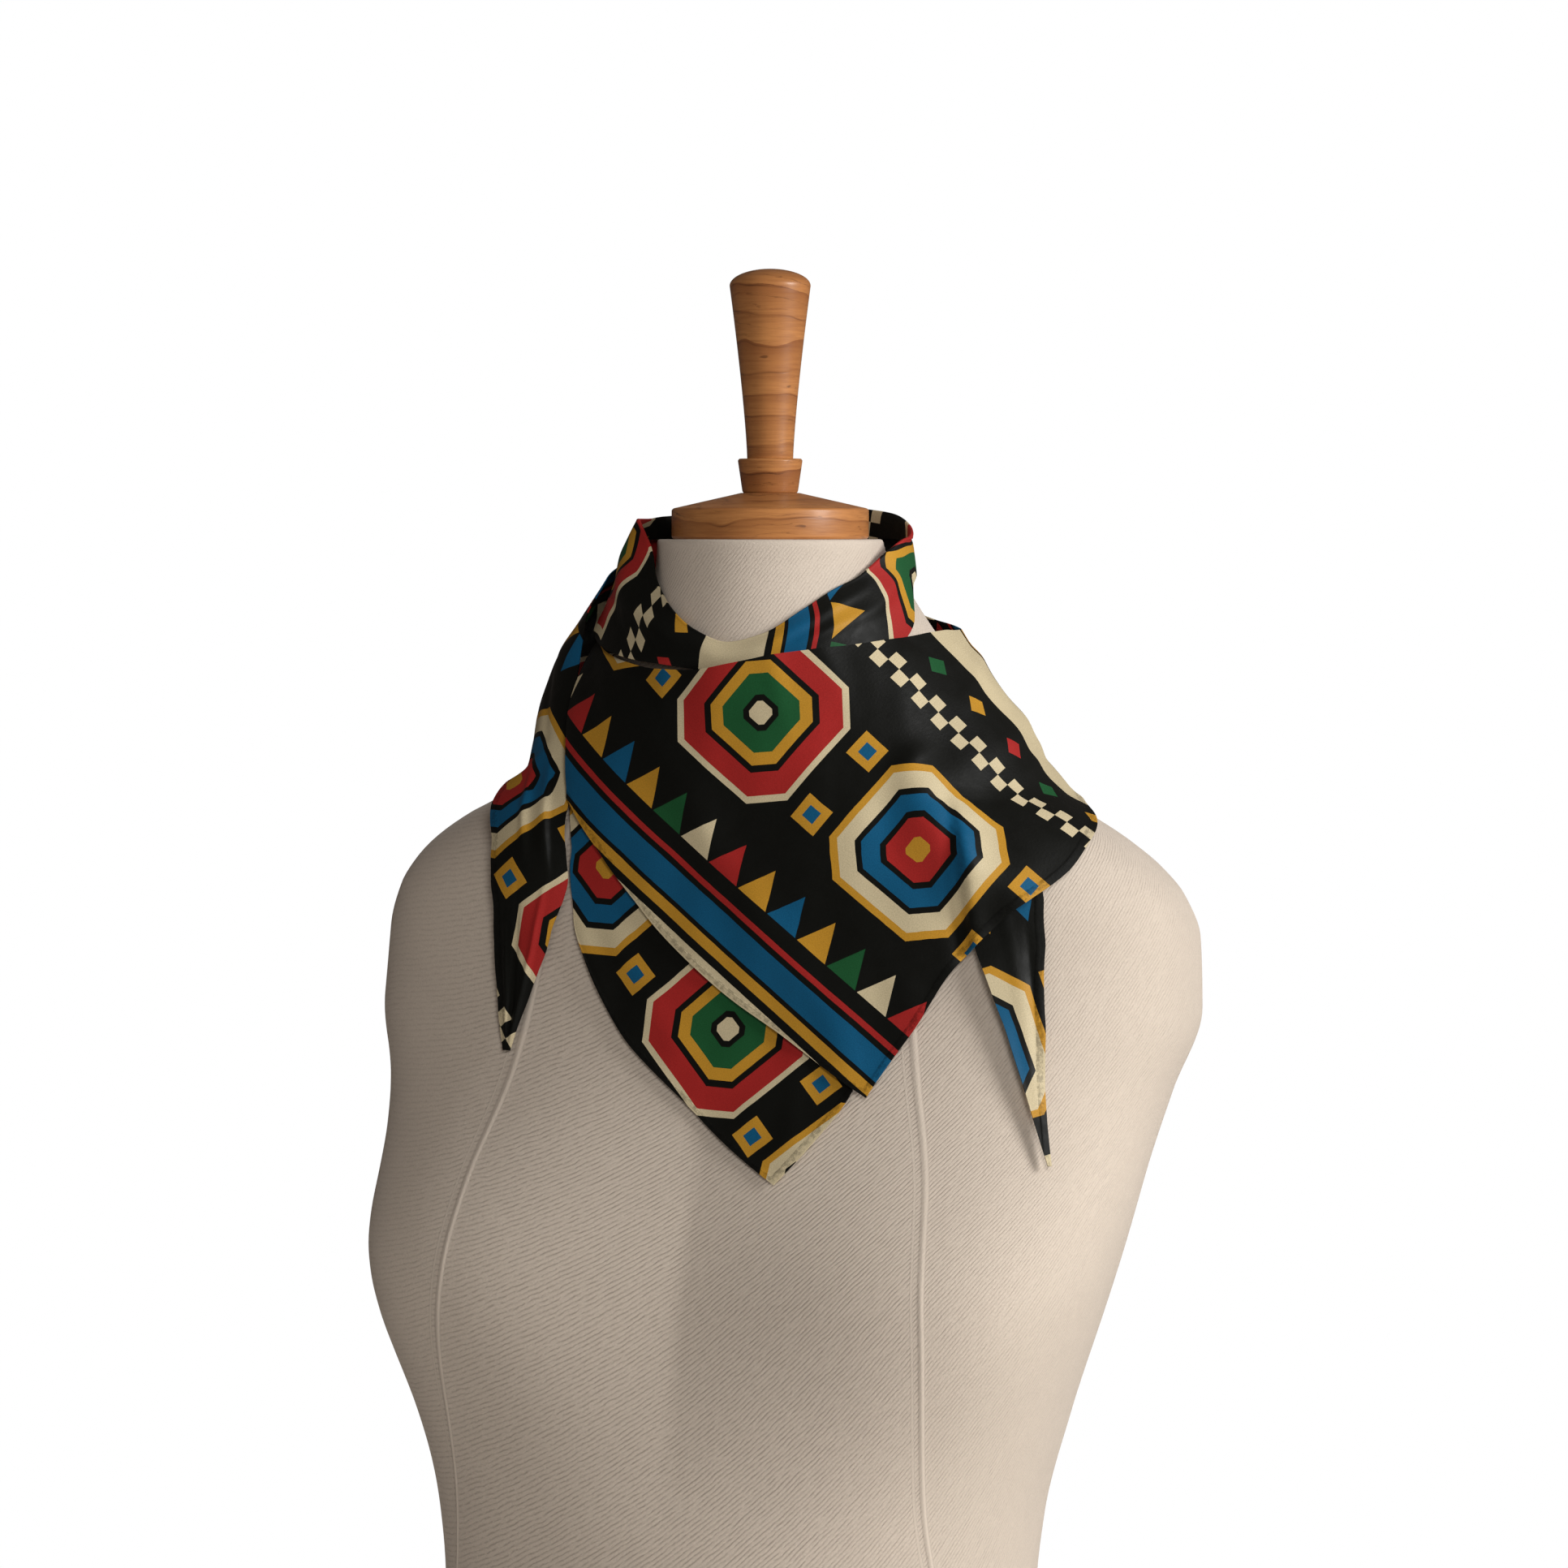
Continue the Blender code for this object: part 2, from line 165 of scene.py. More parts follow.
plus = partial(calc, "ADD")
minus = partial(calc, "SUBTRACT")
times = partial(calc, "MULTIPLY")
divided = partial(calc, "DIVIDE")


def within(value, low, high):  # 1 between two limits, and 0 outside them
    return times(calc("GREATER_THAN", value, low), calc("LESS_THAN", value, high))


def scaled(colour, share):
    node = addNode("VectorMath")
    node.operation = "SCALE"
    join(colour, node.inputs[0])
    join(share, node.inputs["Scale"])
    return node.outputs[0]


def blend(share, under, over):
    node = addNode("Mix")
    node.data_type = "RGBA"
    plug(node.inputs[0], share)
    plug(node.inputs[6], under)
    plug(node.inputs[7], over)
    return node.outputs[2]


def noise(where, scale, detail=2.0, rough=0.5, stretch=None):
    if stretch:
        bend = addNode("Mapping")
        bend.inputs["Scale"].default_value = stretch
        plug(bend.inputs["Vector"], where)
        where = bend.outputs[0]
    node = addNode("TexNoise")
    plug(node.inputs["Vector"], where)
    node.inputs["Scale"].default_value = scale
    node.inputs["Detail"].default_value = detail
    node.inputs["Roughness"].default_value = rough
    return node.outputs["Fac"]


def spread(value, low, high, start, end):  # maps one range onto another
    node = addNode("MapRange")
    plug(node.inputs["Value"], value)
    for name, number in (("From Min", low), ("From Max", high), ("To Min", start), ("To Max", end)):
        node.inputs[name].default_value = number
    return node.outputs[0]


def bands(value, *stops):  # colours that change in steps
    node = addNode("ValToRGB")
    node.color_ramp.interpolation = "CONSTANT"
    ramp = node.color_ramp.elements
    while len(ramp) < len(stops):
        ramp.new(1.0)
    for element, (place, colour) in zip(ramp, stops):
        element.position = place
        element.color = colour
    plug(node.inputs["Fac"], value)
    return node.outputs["Color"]


def relief(height, depth):
    node = addNode("Bump")
    node.inputs["Distance"].default_value = depth
    plug(node.inputs["Height"], height)
    return node.outputs["Normal"]


def coordinates(mapName=None):  # the piece's own flat map, or its place in the object
    if mapName:
        node = addNode("UVMap")
        node.uv_map = mapName
        return node.outputs["UV"]
    return addNode("TexCoord").outputs["Object"]


def parted(where):
    node = addNode("SeparateXYZ")
    plug(node.inputs[0], where)
    return node.outputs


def floorFinish():
    finish, shader = newFinish("paleFloor", studio["floorSockets"])
    x, y = parted(coordinates())[:2]
    out = calc("SQRT", plus(times(x, x), times(y, y)))
    melt = spread(out, studio["floorFade"], studio["floorRadius"], 0.0, 1.0)
    glow = addNode("Emission")
    path = addNode("LightPath")
    share = times(melt, path.outputs["Is Camera Ray"])
    mixShaders(share, shader, glow, finish.node_tree.nodes["Material Output"])
    return finish


# Silk print: straight bands of plain shapes on black, in millimetres of flat cloth
silkPrint = {
    "black": (0.0048, 0.0050, 0.0040, 1),
    "cream": (0.55, 0.46, 0.29, 1),
    "gold": (0.47, 0.235, 0.024, 1),
    "blue": (0.006, 0.085, 0.18, 1),
    "green": (0.012, 0.080, 0.026, 1),
    "red": (0.34, 0.020, 0.018, 1),
    "repeat": 214.0,
    "stripes": (("cream", 0, 29), ("gold", 32.5, 37), ("blue", 39, 50), ("red", 52.5, 55)),
    "pennants": {"from": 62, "to": 78, "step": 17, "halfWide": 7.99},
    "medallions": {"middle": 124, "half": 33, "step": 90, "cut": 0.62},
    "buds": {"aside": 18, "half": 6.5, "cut": 0.5},
    "checks": {"from": 173.6, "to": 186, "step": 6.2},
    "sparks": {"middle": 200, "half": 5.5, "step": 24, "cut": 1.0},
}


def cellOf(run, step):  # which cell along the stripe, and how far from its middle, in millimetres
    cell = divided(run, step)
    away = times(minus(calc("FRACT", cell), 0.5), step)
    return calc("FLOOR", cell), away


def inTurn(cell, *inks):  # cells take the colours one after the other
    share = divided(plus(calc("FLOORED_MODULO", cell, len(inks)), 0.5), len(inks))
    return bands(share, *((i / len(inks), silkPrint[ink]) for i, ink in enumerate(inks)))


def fromMiddle(away, aside, shape):  # 1 on the edge of a square with its corners cut
    first = divided(calc("ABSOLUTE", away), shape["half"])
    second = divided(calc("ABSOLUTE", aside), shape["half"])
    return calc("MAXIMUM", calc("MAXIMUM", first, second), times(plus(first, second), shape["cut"]))


def printColour(where):
    ink = silkPrint
    u, v = parted(where)[:2]
    p = times(u, 1000)
    q = times(v, 1000)
    across = calc("FLOORED_MODULO", p, ink["repeat"])
    stripe = calc("FLOOR", divided(p, ink["repeat"]))
    colour = ink["black"]
    for name, low, high in ink["stripes"]:
        colour = blend(within(across, low, high), colour, ink[name])

    flags = ink["pennants"]
    cell, away = cellOf(q, flags["step"])
    rise = spread(across, flags["from"], flags["to"], flags["halfWide"], 0.0)
    mask = calc("LESS_THAN", calc("ABSOLUTE", away), rise)
    mask = times(mask, within(across, flags["from"], flags["to"]))
    colour = blend(mask, colour, inTurn(cell, "gold", "red", "cream", "green", "gold", "blue"))

    gems = ink["medallions"]
    shifted = plus(q, times(stripe, gems["step"] * 0.5))
    cell, away = cellOf(shifted, gems["step"])
    aside = minus(across, gems["middle"])
    out = fromMiddle(away, aside, gems)
    warm = bands(out, (0, ink["gold"]), (0.14, ink["red"]), (0.36, ink["black"]), (0.43, ink["blue"]),
                 (0.64, ink["black"]), (0.71, ink["cream"]), (0.91, ink["gold"]))
    cool = bands(out, (0, ink["cream"]), (0.13, ink["black"]), (0.20, ink["green"]), (0.44, ink["gold"]),
                 (0.58, ink["black"]), (0.66, ink["red"]), (0.92, ink["cream"]))
    odd = calc("FLOORED_MODULO", plus(cell, stripe), 2)
    chosen = blend(odd, warm, cool)
    colour = blend(calc("LESS_THAN", out, 1.0), colour, chosen)

    bud = ink["buds"]
    cell, away = cellOf(plus(shifted, gems["step"] * 0.5), gems["step"])
    beside = minus(calc("ABSOLUTE", aside), bud["aside"])
    out = fromMiddle(away, beside, bud)
    chosen = blend(calc("LESS_THAN", out, 0.45), ink["gold"], ink["blue"])
    colour = blend(calc("LESS_THAN", out, 1.0), colour, chosen)

    chequer = ink["checks"]
    near = calc("FLOOR", divided(minus(across, chequer["from"]), chequer["step"]))
    far = calc("FLOOR", divided(q, chequer["step"]))
    odd = calc("FLOORED_MODULO", plus(near, far), 2)
    mask = times(odd, within(across, chequer["from"], chequer["to"]))
    colour = blend(mask, colour, ink["cream"])

    spark = ink["sparks"]
    cell, away = cellOf(q, spark["step"])
    beside = minus(across, spark["middle"])
    out = fromMiddle(away, beside, spark)
    return blend(calc("LESS_THAN", out, 1.0), colour, inTurn(cell, "red", "gold", "green"))


# Silk cloth: satin twill with a narrow stitched hem
silkCloth = {
    "hemWidth": 3.6,
    "stitchAt": 3.0,
    "stitchPitch": 2.4,
    "stitchWide": 0.45,
    "stitchShare": 0.74,  # of the pitch that shows thread
    "stitchTone": 0.30,
    "hemTone": 0.38,
    "twillPitch": 0.8,
    "twillSlope": 1.6,
    "twillHeight": 0.03,
    "slubHeight": 0.40,
    "hemHeight": 0.5,  # of the hem and of the dent of a stitch
    "depth": 0.00022,
    "roughness": (0.46, 0.58),
    "sockets": {"Specular IOR Level": 0.16},
}


def silkFinish():
    finish, shader = newFinish("printedSilk", silkCloth["sockets"])
    flat = coordinates("clothFlat")
    along, across = parted(coordinates("hemLine"))[:2]
    colour = printColour(flat)
    # Fine unevenness of the yarn, and broad unevenness of the dye
    grain = spread(noise(flat, 1900, 3, 0.7), 0.3, 0.7, 0.80, 1.16)
    worn = spread(noise(flat, 22, 3, 0.5), 0.35, 0.65, 0.93, 1.07)
    shade = times(grain, worn)
    fromHem = times(across, 1000)
    run = times(along, 1000)
    half = silkCloth["stitchWide"] / 2
    onLine = within(fromHem, silkCloth["stitchAt"] - half, silkCloth["stitchAt"] + half)
    step = calc("FRACT", divided(run, silkCloth["stitchPitch"]))
    stitch = times(onLine, calc("LESS_THAN", step, silkCloth["stitchShare"]))
    mottled = spread(noise(flat, 420, 2, 0.7), 0.42, 0.60, 0.0, silkCloth["hemTone"])
    mottled = times(mottled, within(fromHem, 0.9, silkCloth["hemWidth"] + 0.6))
    share = calc("MAXIMUM", times(stitch, silkCloth["stitchTone"]), mottled)
    join(scaled(colour, times(shade, minus(1.0, share))), shader.inputs["Base Color"])
    u, v = parted(flat)[:2]
    diagonal = times(plus(u, times(v, silkCloth["twillSlope"])), 2000 * math.pi / silkCloth["twillPitch"])
    twill = times(calc("SINE", diagonal), silkCloth["twillHeight"])
    slub = times(noise(flat, 700, 3, 0.6), silkCloth["slubHeight"])
    edge = silkCloth["hemWidth"]
    hem = spread(fromHem, edge - 0.4, edge + 0.4, silkCloth["hemHeight"], 0.0)
    dent = times(stitch, silkCloth["hemHeight"])
    height = plus(plus(twill, slub), minus(hem, dent))
    join(relief(height, silkCloth["depth"]), shader.inputs["Normal"])
    join(spread(noise(flat, 180, 2, 0.5), 0.3, 0.7, *silkCloth["roughness"]), shader.inputs["Roughness"])
    return finish


# Shape of the dress form: level sections in millimetres, read by the drop below the top of its neck
neckTop = 690.0
formSections = table(
    "drop halfWidth middle front back squareness",
    (-40, 48.6, 0, -48.6, 48.6, 2),
    (0, 48.6, 0, -48.6, 48.6, 2),
    (20, 55, 15, -49.5, 60, 2),
    (40, 66, 20, -51, 73, 2),
    (60, 84, 18, -53, 85, 2),
    (80, 101, 15, -55, 95, 2),
    (100, 115, 11, -57, 103, 2.05),
    (112, 126, 9, -58, 106, 2.1),
    (120, 141, 9, -58.5, 108, 2.15),
    (130, 156, 10, -59, 110, 2.25),
    (140, 167, 14, -60, 112, 2.35),
    (152, 176, 19, -61, 113, 2.4),
    (170, 182, 24, -64, 114, 2.4),
    (200, 183, 23, -69, 112, 2.4),
    (235, 171, 14, -78, 107, 2.4),
    (270, 159, 5, -92, 100, 2.4),
    (306, 150, -8, -106, 91, 2.4),
    (329, 145, -15, -112, 84, 2.4),
    (370, 137, -26, -121, 71, 2.35),
    (410, 131, -36, -128, 58, 2.2),
    (443, 129, -39, -131, 53, 2.1),
    (490, 128, -40, -137, 58, 2.1),
    (530, 134, -38, -143, 67, 2.1),
    (590, 151, -33, -150, 84, 2.1),
    (650, 163, -29, -153, 95, 2.1),
    (690, 166, -28, -152, 96, 2.1),
)
chest = {"drop": 305.0, "angle": 36.0, "spread": 27.0, "reach": 30.0, "above": 44.0, "below": 46.0}


def curveThrough(keys, values, at):  # a smooth curve that never swings past its rows
    at = np.clip(at, keys[0], keys[-1])
    step = np.diff(keys)
    rise = np.diff(values) / step
    slope = np.zeros(len(keys))
    slope[0] = rise[0]
    slope[-1] = rise[-1]
    for i in range(1, len(keys) - 1):
        if rise[i - 1] * rise[i] > 0:
            before = 2 * step[i] + step[i - 1]
            after = step[i] + 2 * step[i - 1]
            slope[i] = (before + after) / (before / rise[i - 1] + after / rise[i])
    i = np.clip(np.searchsorted(keys, at, side="right") - 1, 0, len(keys) - 2)
    t = (at - keys[i]) / step[i]
    start = (2 * t**3 - 3 * t**2 + 1) * values[i] + (t**3 - 2 * t**2 + t) * step[i] * slope[i]
    end = (3 * t**2 - 2 * t**3) * values[i + 1] + (t**3 - t**2) * step[i] * slope[i + 1]
    return start + end


# corner is the rib where the cloth has its point, and turning reads the rows round and round
def readColumn(rows, name, at, corner=None, turning=False):
    keys = next(iter(rows.values()))
    if turning:
        keys = np.concatenate([keys - 360, keys, keys + 360])
        return curveThrough(keys, np.tile(rows[name], 3), np.mod(at, 360))
    if corner is None:
        return curveThrough(keys, rows[name], at)
    before = curveThrough(keys[: corner + 1], rows[name][: corner + 1], at)
    after = curveThrough(keys[corner:], rows[name][corner:], at)
    return np.where(at < corner, before, after)


def formSurface(angle, drop):
    angle, drop = np.broadcast_arrays(np.asarray(angle, float), np.asarray(drop, float))
    names = list(formSections)[1:]
    half, middle, front, back, square = (readColumn(formSections, name, drop) for name in names)
    turn = np.radians(angle)
    side = np.cos(turn)
    ahead = np.sin(turn)
    depth = np.where(ahead < 0, middle - front, back - middle)
    reach = (np.abs(side / half) ** square + np.abs(ahead / depth) ** square) ** (-1 / square)
    x = reach * side
    y = middle + reach * ahead
    offSide = np.degrees(np.arctan2(-ahead, np.abs(side)))
    height = np.where(drop < chest["drop"], chest["above"], chest["below"])
    roundIt = (offSide - chest["angle"]) / chest["spread"]
    downIt = (drop - chest["drop"]) / height
    swell = chest["reach"] * np.exp(-0.5 * (roundIt**2 + downIt**2))
    x = x + np.tanh(x / 25) * swell * math.cos(math.radians(chest["angle"]))
    y = y - swell * math.sin(math.radians(chest["angle"]))
    return np.stack([x, y, neckTop - drop], axis=-1)


def onForm(angle, drop, lift=0.0):
    angle, drop, lift = np.broadcast_arrays(angle, drop, lift)
    turned = formSurface(angle + 0.5, drop) - formSurface(angle - 0.5, drop)
    lowered = formSurface(angle, drop + 1.0) - formSurface(angle, drop - 1.0)
    out = np.cross(lowered, turned)
    out /= np.linalg.norm(out, axis=-1, keepdims=True)
    return formSurface(angle, drop) + lift[..., None] * out


def lengthAlong(points, axis):  # running length of each row or column of a grid of points
    steps = np.linalg.norm(np.diff(points, axis=axis), axis=-1)
    first = np.zeros_like(np.take(steps, [0], axis=axis))
    return np.concatenate([first, np.cumsum(steps, axis=axis)], axis=axis)


def cornerPoints(mesh):  # which point each corner of each face is
    corners = np.zeros(len(mesh.loops), int)
    mesh.loops.foreach_get("vertex_index", corners)
    return corners


def addMesh(name, points, faces, finish, maps):
    mesh = bpy.data.meshes.new(name)
    mesh.from_pydata((np.asarray(points).reshape(-1, 3) * mm).tolist(), [], faces)
    corners = cornerPoints(mesh)
    for mapName, flat in maps.items():
        layer = mesh.uv_layers.new(name=mapName)
        layer.data.foreach_set("uv", (np.asarray(flat).reshape(-1, 2)[corners] * mm).ravel())
    mesh.materials.append(finish)
    mesh.shade_smooth()
    return show(bpy.data.objects.new(name, mesh))


def gridFaces(rows, columns, closed=False):
    faces = []
    for i in range(rows - 1):
        for j in range(columns if closed else columns - 1):
            k = (j + 1) % columns
            faces.append((i * columns + j, (i + 1) * columns + j, (i + 1) * columns + k, i * columns + k))
    return faces


def turnFlat(flat, turn):
    return flat @ np.array([[math.cos(turn), -math.sin(turn)], [math.sin(turn), math.cos(turn)]]).T


def pickOnly(piece):
    bpy.ops.object.select_all(action="DESELECT")
    piece.select_set(True)
    bpy.context.view_layer.objects.active = piece


def editAll():
    bpy.ops.object.mode_set(mode="EDIT")
    bpy.ops.mesh.select_all(action="SELECT")


def finishPiece(piece, node):
    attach(piece, "root")
    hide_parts(node)


# Dress form: jersey stretched over the torso, with a welt along each seam
torso = {
    "rings": 250,
    "betweenSeams": 46,
    "weltOffsets": (-3.0, -1.7, -1.2, -0.6, 0.0, 0.6, 1.2, 1.7, 3.0),
    "weltHeight": 0.45,
    "weltWide": 1.0,
    "topRound": 1.2,
    "baseRound": 3.0,
    "weltFrom": 84.0,
    "offSeam": 9.0,
    "frontSeam": table(
        "drop aside",
        *((0, 30), (60, 52), (110, 70), (150, 78), (175, 82), (222, 90), (270, 102)),
        *((306, 106), (329, 107), (396, 104), (443, 108), (560, 118), (690, 126)),
    ),
    "backSeam": table(
        "drop aside",
        *((0, 26), (60, 50), (110, 68), (200, 82), (300, 76), (443, 60), (560, 78), (690, 90)),
    ),
}
jersey = {
    "light": (0.63, 0.54, 0.447, 1),
    # the colour of the painted shade in the rib grooves, and of the painted shadow beside each seam's welt
    "grooveShade": (0.37, 0.305, 0.25, 1),
    "seamLight": (0.60, 0.514, 0.426, 1),
    "pitch": 2.3,  # of the ribs, measured straight down
    "slope": 0.74,
    "slopeTurn": 0.0014,  # the ribs stand steeper towards the wearer's left
    "turnWithin": 170.0,
    "neckAbove": 0.641,  # under the scarf all round
    "neckSlope": 1.25,
    "neckPitch": 2.35,
    "neckShare": 0.45,  # how much fainter the ribs are on the neck
    "topFade": (0.6845, 0.6885),
    "depth": 0.00022,
    # how far the painted shade in the rib grooves darkens the colour
    "grooveShadeShare": 0.54,
    # how dark the painted shadow is on each side of a seam's raised welt
    "stitchShare": 0.28,
    "sockets": {"Roughness": 0.92, "Specular IOR Level": 0.2, "Sheen Weight": 0.12, "Sheen Roughness": 0.5},
}


def seamAngle(rows, drop, low, high):  # angle where the form's surface is that far aside, at each drop
    wanted = readColumn(rows, "aside", drop)
    tries = np.linspace(low, high, 181)
    aside = np.abs(formSurface(tries[None, :], drop[:, None])[..., 0])
    found = np.zeros(len(drop))
    for i in range(len(drop)):
        order = np.argsort(aside[i])
        found[i] = np.interp(wanted[i], aside[i][order], tries[order])
    return found


def jerseyFinish():
    finish, shader = newFinish("ribbedJersey", jersey["sockets"])
    flat = coordinates("clothFlat")
    u, v = parted(flat)[:2]
    aside = times(u, 1000)
    near = calc("MAXIMUM", calc("MINIMUM", aside, jersey["turnWithin"]), -jersey["turnWithin"])
    bent = times(near, minus(aside, times(near, 0.5)))
    climb = plus(times(aside, jersey["slope"]), times(bent, jersey["slopeTurn"]))
    drift = times(noise(flat, 60, 3, 0.65), 2.6)
    down = times(v, 1000)
    body = minus(down, climb)
    neck = minus(down, times(aside, jersey["neckSlope"]))
    neck = times(neck, jersey["pitch"] / jersey["neckPitch"])
    up = parted(coordinates())[2]
    onNeck = calc("GREATER_THAN", up, jersey["neckAbove"])
    phase = plus(body, times(onNeck, minus(neck, body)))
    phase = plus(phase, drift)
    wave = calc("COSINE", times(phase, 2 * math.pi / jersey["pitch"]))
    # Painted shade: this groove mask darkens the colour in the rib grooves, and it also dents them through
    # the bump
    grooveShade = calc("POWER", spread(wave, -1, 1, 0, 1), 2.2)
    along = addNode("CombineXYZ")
    join(times(aside, 0.28), along.inputs[0])
    join(phase, along.inputs[1])
    dashes = noise(along.outputs[0], 0.9, 3, 0.65)
    fuzz = noise(flat, 1100, 3, 0.65)
    broken = times(grooveShade, spread(dashes, 0.38, 0.58, 0.08, 1.0))
    offSeam = calc("ABSOLUTE", parted(coordinates("seamLine"))[0])
    plain = spread(offSeam, 0.0009, 0.0016, 0.0, 1.0)
    broken = times(broken, plain)
    broken = times(broken, minus(1.0, times(onNeck, jersey["neckShare"])))
    broken = times(broken, spread(up, *jersey["topFade"], 1.0, 0.1))
    broken = times(broken, spread(aside, -150, -85, 0.35, 1.0))
    broken = times(broken, spread(aside, 60, 150, 1.0, 0.65))
    loops = minus(times(fuzz, 0.9), broken)
    loops = plus(loops, times(dashes, 0.7))
    join(relief(loops, jersey["depth"]), shader.inputs["Normal"])
    # Painted shade in the rib grooves: the colour darkens towards the groove shade colour
    share = times(broken, jersey["grooveShadeShare"])
    share = plus(share, spread(fuzz, 0.35, 0.65, 0.26, 0.0))
    colour = blend(share, jersey["light"], jersey["grooveShade"])
    colour = blend(minus(1.0, plain), colour, jersey["seamLight"])
    # Painted shadow: a thin dark line along each side of the seam's raised welt, in the groove shade colour
    seamShadow = times(within(offSeam, 0.0011, 0.0018), jersey["stitchShare"])
    colour = blend(seamShadow, colour, jersey["grooveShade"])
    patch = spread(noise(flat, 8, 3, 0.5), 0.35, 0.65, 0.96, 1.04)
    join(scaled(colour, patch), shader.inputs["Base Color"])
    return finish


def addTorso():
    drops = np.linspace(0, neckTop, torso["rings"])
    topRound = torso["topRound"]
    baseRound = torso["baseRound"]
    bends = [0.0, topRound * 0.3, topRound, neckTop - baseRound, neckTop - baseRound * 0.3, neckTop]
    drops = np.unique(np.concatenate([bends, drops[1:-1]]))
    top = np.clip(1 - drops / topRound, 0, 1)
    foot = np.clip(1 - (neckTop - drops) / baseRound, 0, 1)
    inset = topRound * (1 - np.sqrt(1 - top**2)) + baseRound * (1 - np.sqrt(1 - foot**2))
    seams = [
        np.full(len(drops), 90.0),
        seamAngle(torso["backSeam"], drops, 91, 178),
        seamAngle(torso["frontSeam"], drops, 182, 269),
        seamAngle(torso["frontSeam"], drops, 271, 358),
        seamAngle(torso["backSeam"], drops, 2, 89) + 360,
        np.full(len(drops), 450.0),
    ]
    offsets = np.array(torso["weltOffsets"])
    angles = []
    lifts = []
    asides = []
    for seam, following in zip(seams, seams[1:]):
        radius = np.linalg.norm(formSurface(seam, drops)[:, :2], axis=-1)
        perMm = np.degrees(1 / radius)
        for offset in offsets:
            angles.append(seam + offset * perMm)
            fade = np.clip((drops - torso["weltFrom"]) / 20, 0, 1)
            lifts.append(torso["weltHeight"] * fade * math.exp(-((offset / torso["weltWide"]) ** 2)))
            asides.append(np.where(fade > 0, offset, torso["offSeam"]))
        radius = np.linalg.norm(formSurface(following, drops)[:, :2], axis=-1)
        start = seam + offsets[-1] * perMm
        end = following + offsets[0] * np.degrees(1 / radius)
        for k in range(1, torso["betweenSeams"]):
            angles.append(start + (end - start) * k / torso["betweenSeams"])
            lifts.append(np.zeros(len(drops)))
            asides.append(np.full(len(drops), torso["offSeam"]))
    angles = np.array(angles).T
    lifts = np.array(lifts).T
    points = onForm(angles, drops[:, None], lifts - inset[:, None])
    points[..., 2] = neckTop - drops[:, None]
    looped = np.concatenate([points, points[:, :1]], axis=1)
    asides = np.array(asides + asides[:1]).T
    runs = lengthAlong(looped, 1)
    front = np.argmin(np.abs(angles - 270), axis=1)
    start = np.take_along_axis(runs, front[:, None], axis=1)
    downs = lengthAlong(looped, 0)
    flat = np.stack([runs - start, -downs], axis=-1)
    rows, columns = looped.shape[:2]
    faces = gridFaces(rows, columns)
    faces.append(tuple(range(columns - 1)))
    faces.append(tuple(range((rows - 1) * columns, rows * columns - 1))[::-1])
    seamLine = np.stack([asides, np.zeros(asides.shape)], axis=-1)
    piece = addMesh("jerseyTorso", looped, faces, jerseyFinish(), {"clothFlat": flat, "seamLine": seamLine})
    pickOnly(piece)
    editAll()
    bpy.ops.mesh.remove_doubles(threshold=0.00001)
    bpy.ops.mesh.normals_make_consistent(inside=False)
    bpy.ops.object.mode_set(mode="OBJECT")
    piece.data.shade_smooth()
    piece.data.set_sharp_from_angle(angle=math.radians(50))
    finishPiece(piece, "form_torso")
    print("dress form:", len(piece.data.polygons), "faces")


# Turned wood: the cap on the neck, the collar and the handle, as radius and height in millimetres
wood = {
    "sides": 128,
    "gap": 0.3,  # between the solids
    "reach": 0.28,  # each foot comes this far down over the gap
    "cap": ((41.6, 0), (42.4, 0.8), (42.4, 12.2), (41.6, 13.0), (12.6, 19.6)),
    "collar": ((11.6, 0), (12.0, 0.6), (13.9, 13.6), (13.3, 14.4)),
    "handle": {"height": 81.0, "foot": 9.9, "top": 17.4, "dome": 7.3, "steps": 20, "swell": 1.3},
    "bevel": 0.3,
    "grainPitch": 11.0,
    "grainDepth": 0.00006,
    "sockets": {"Specular IOR Level": 0.35, "Coat Weight": 0.16, "Coat Roughness": 0.22},
    "light": (0.51, 0.217, 0.068, 1),
    "middle": (0.24, 0.080, 0.024, 1),
    "dark": (0.070, 0.022, 0.008, 1),
}


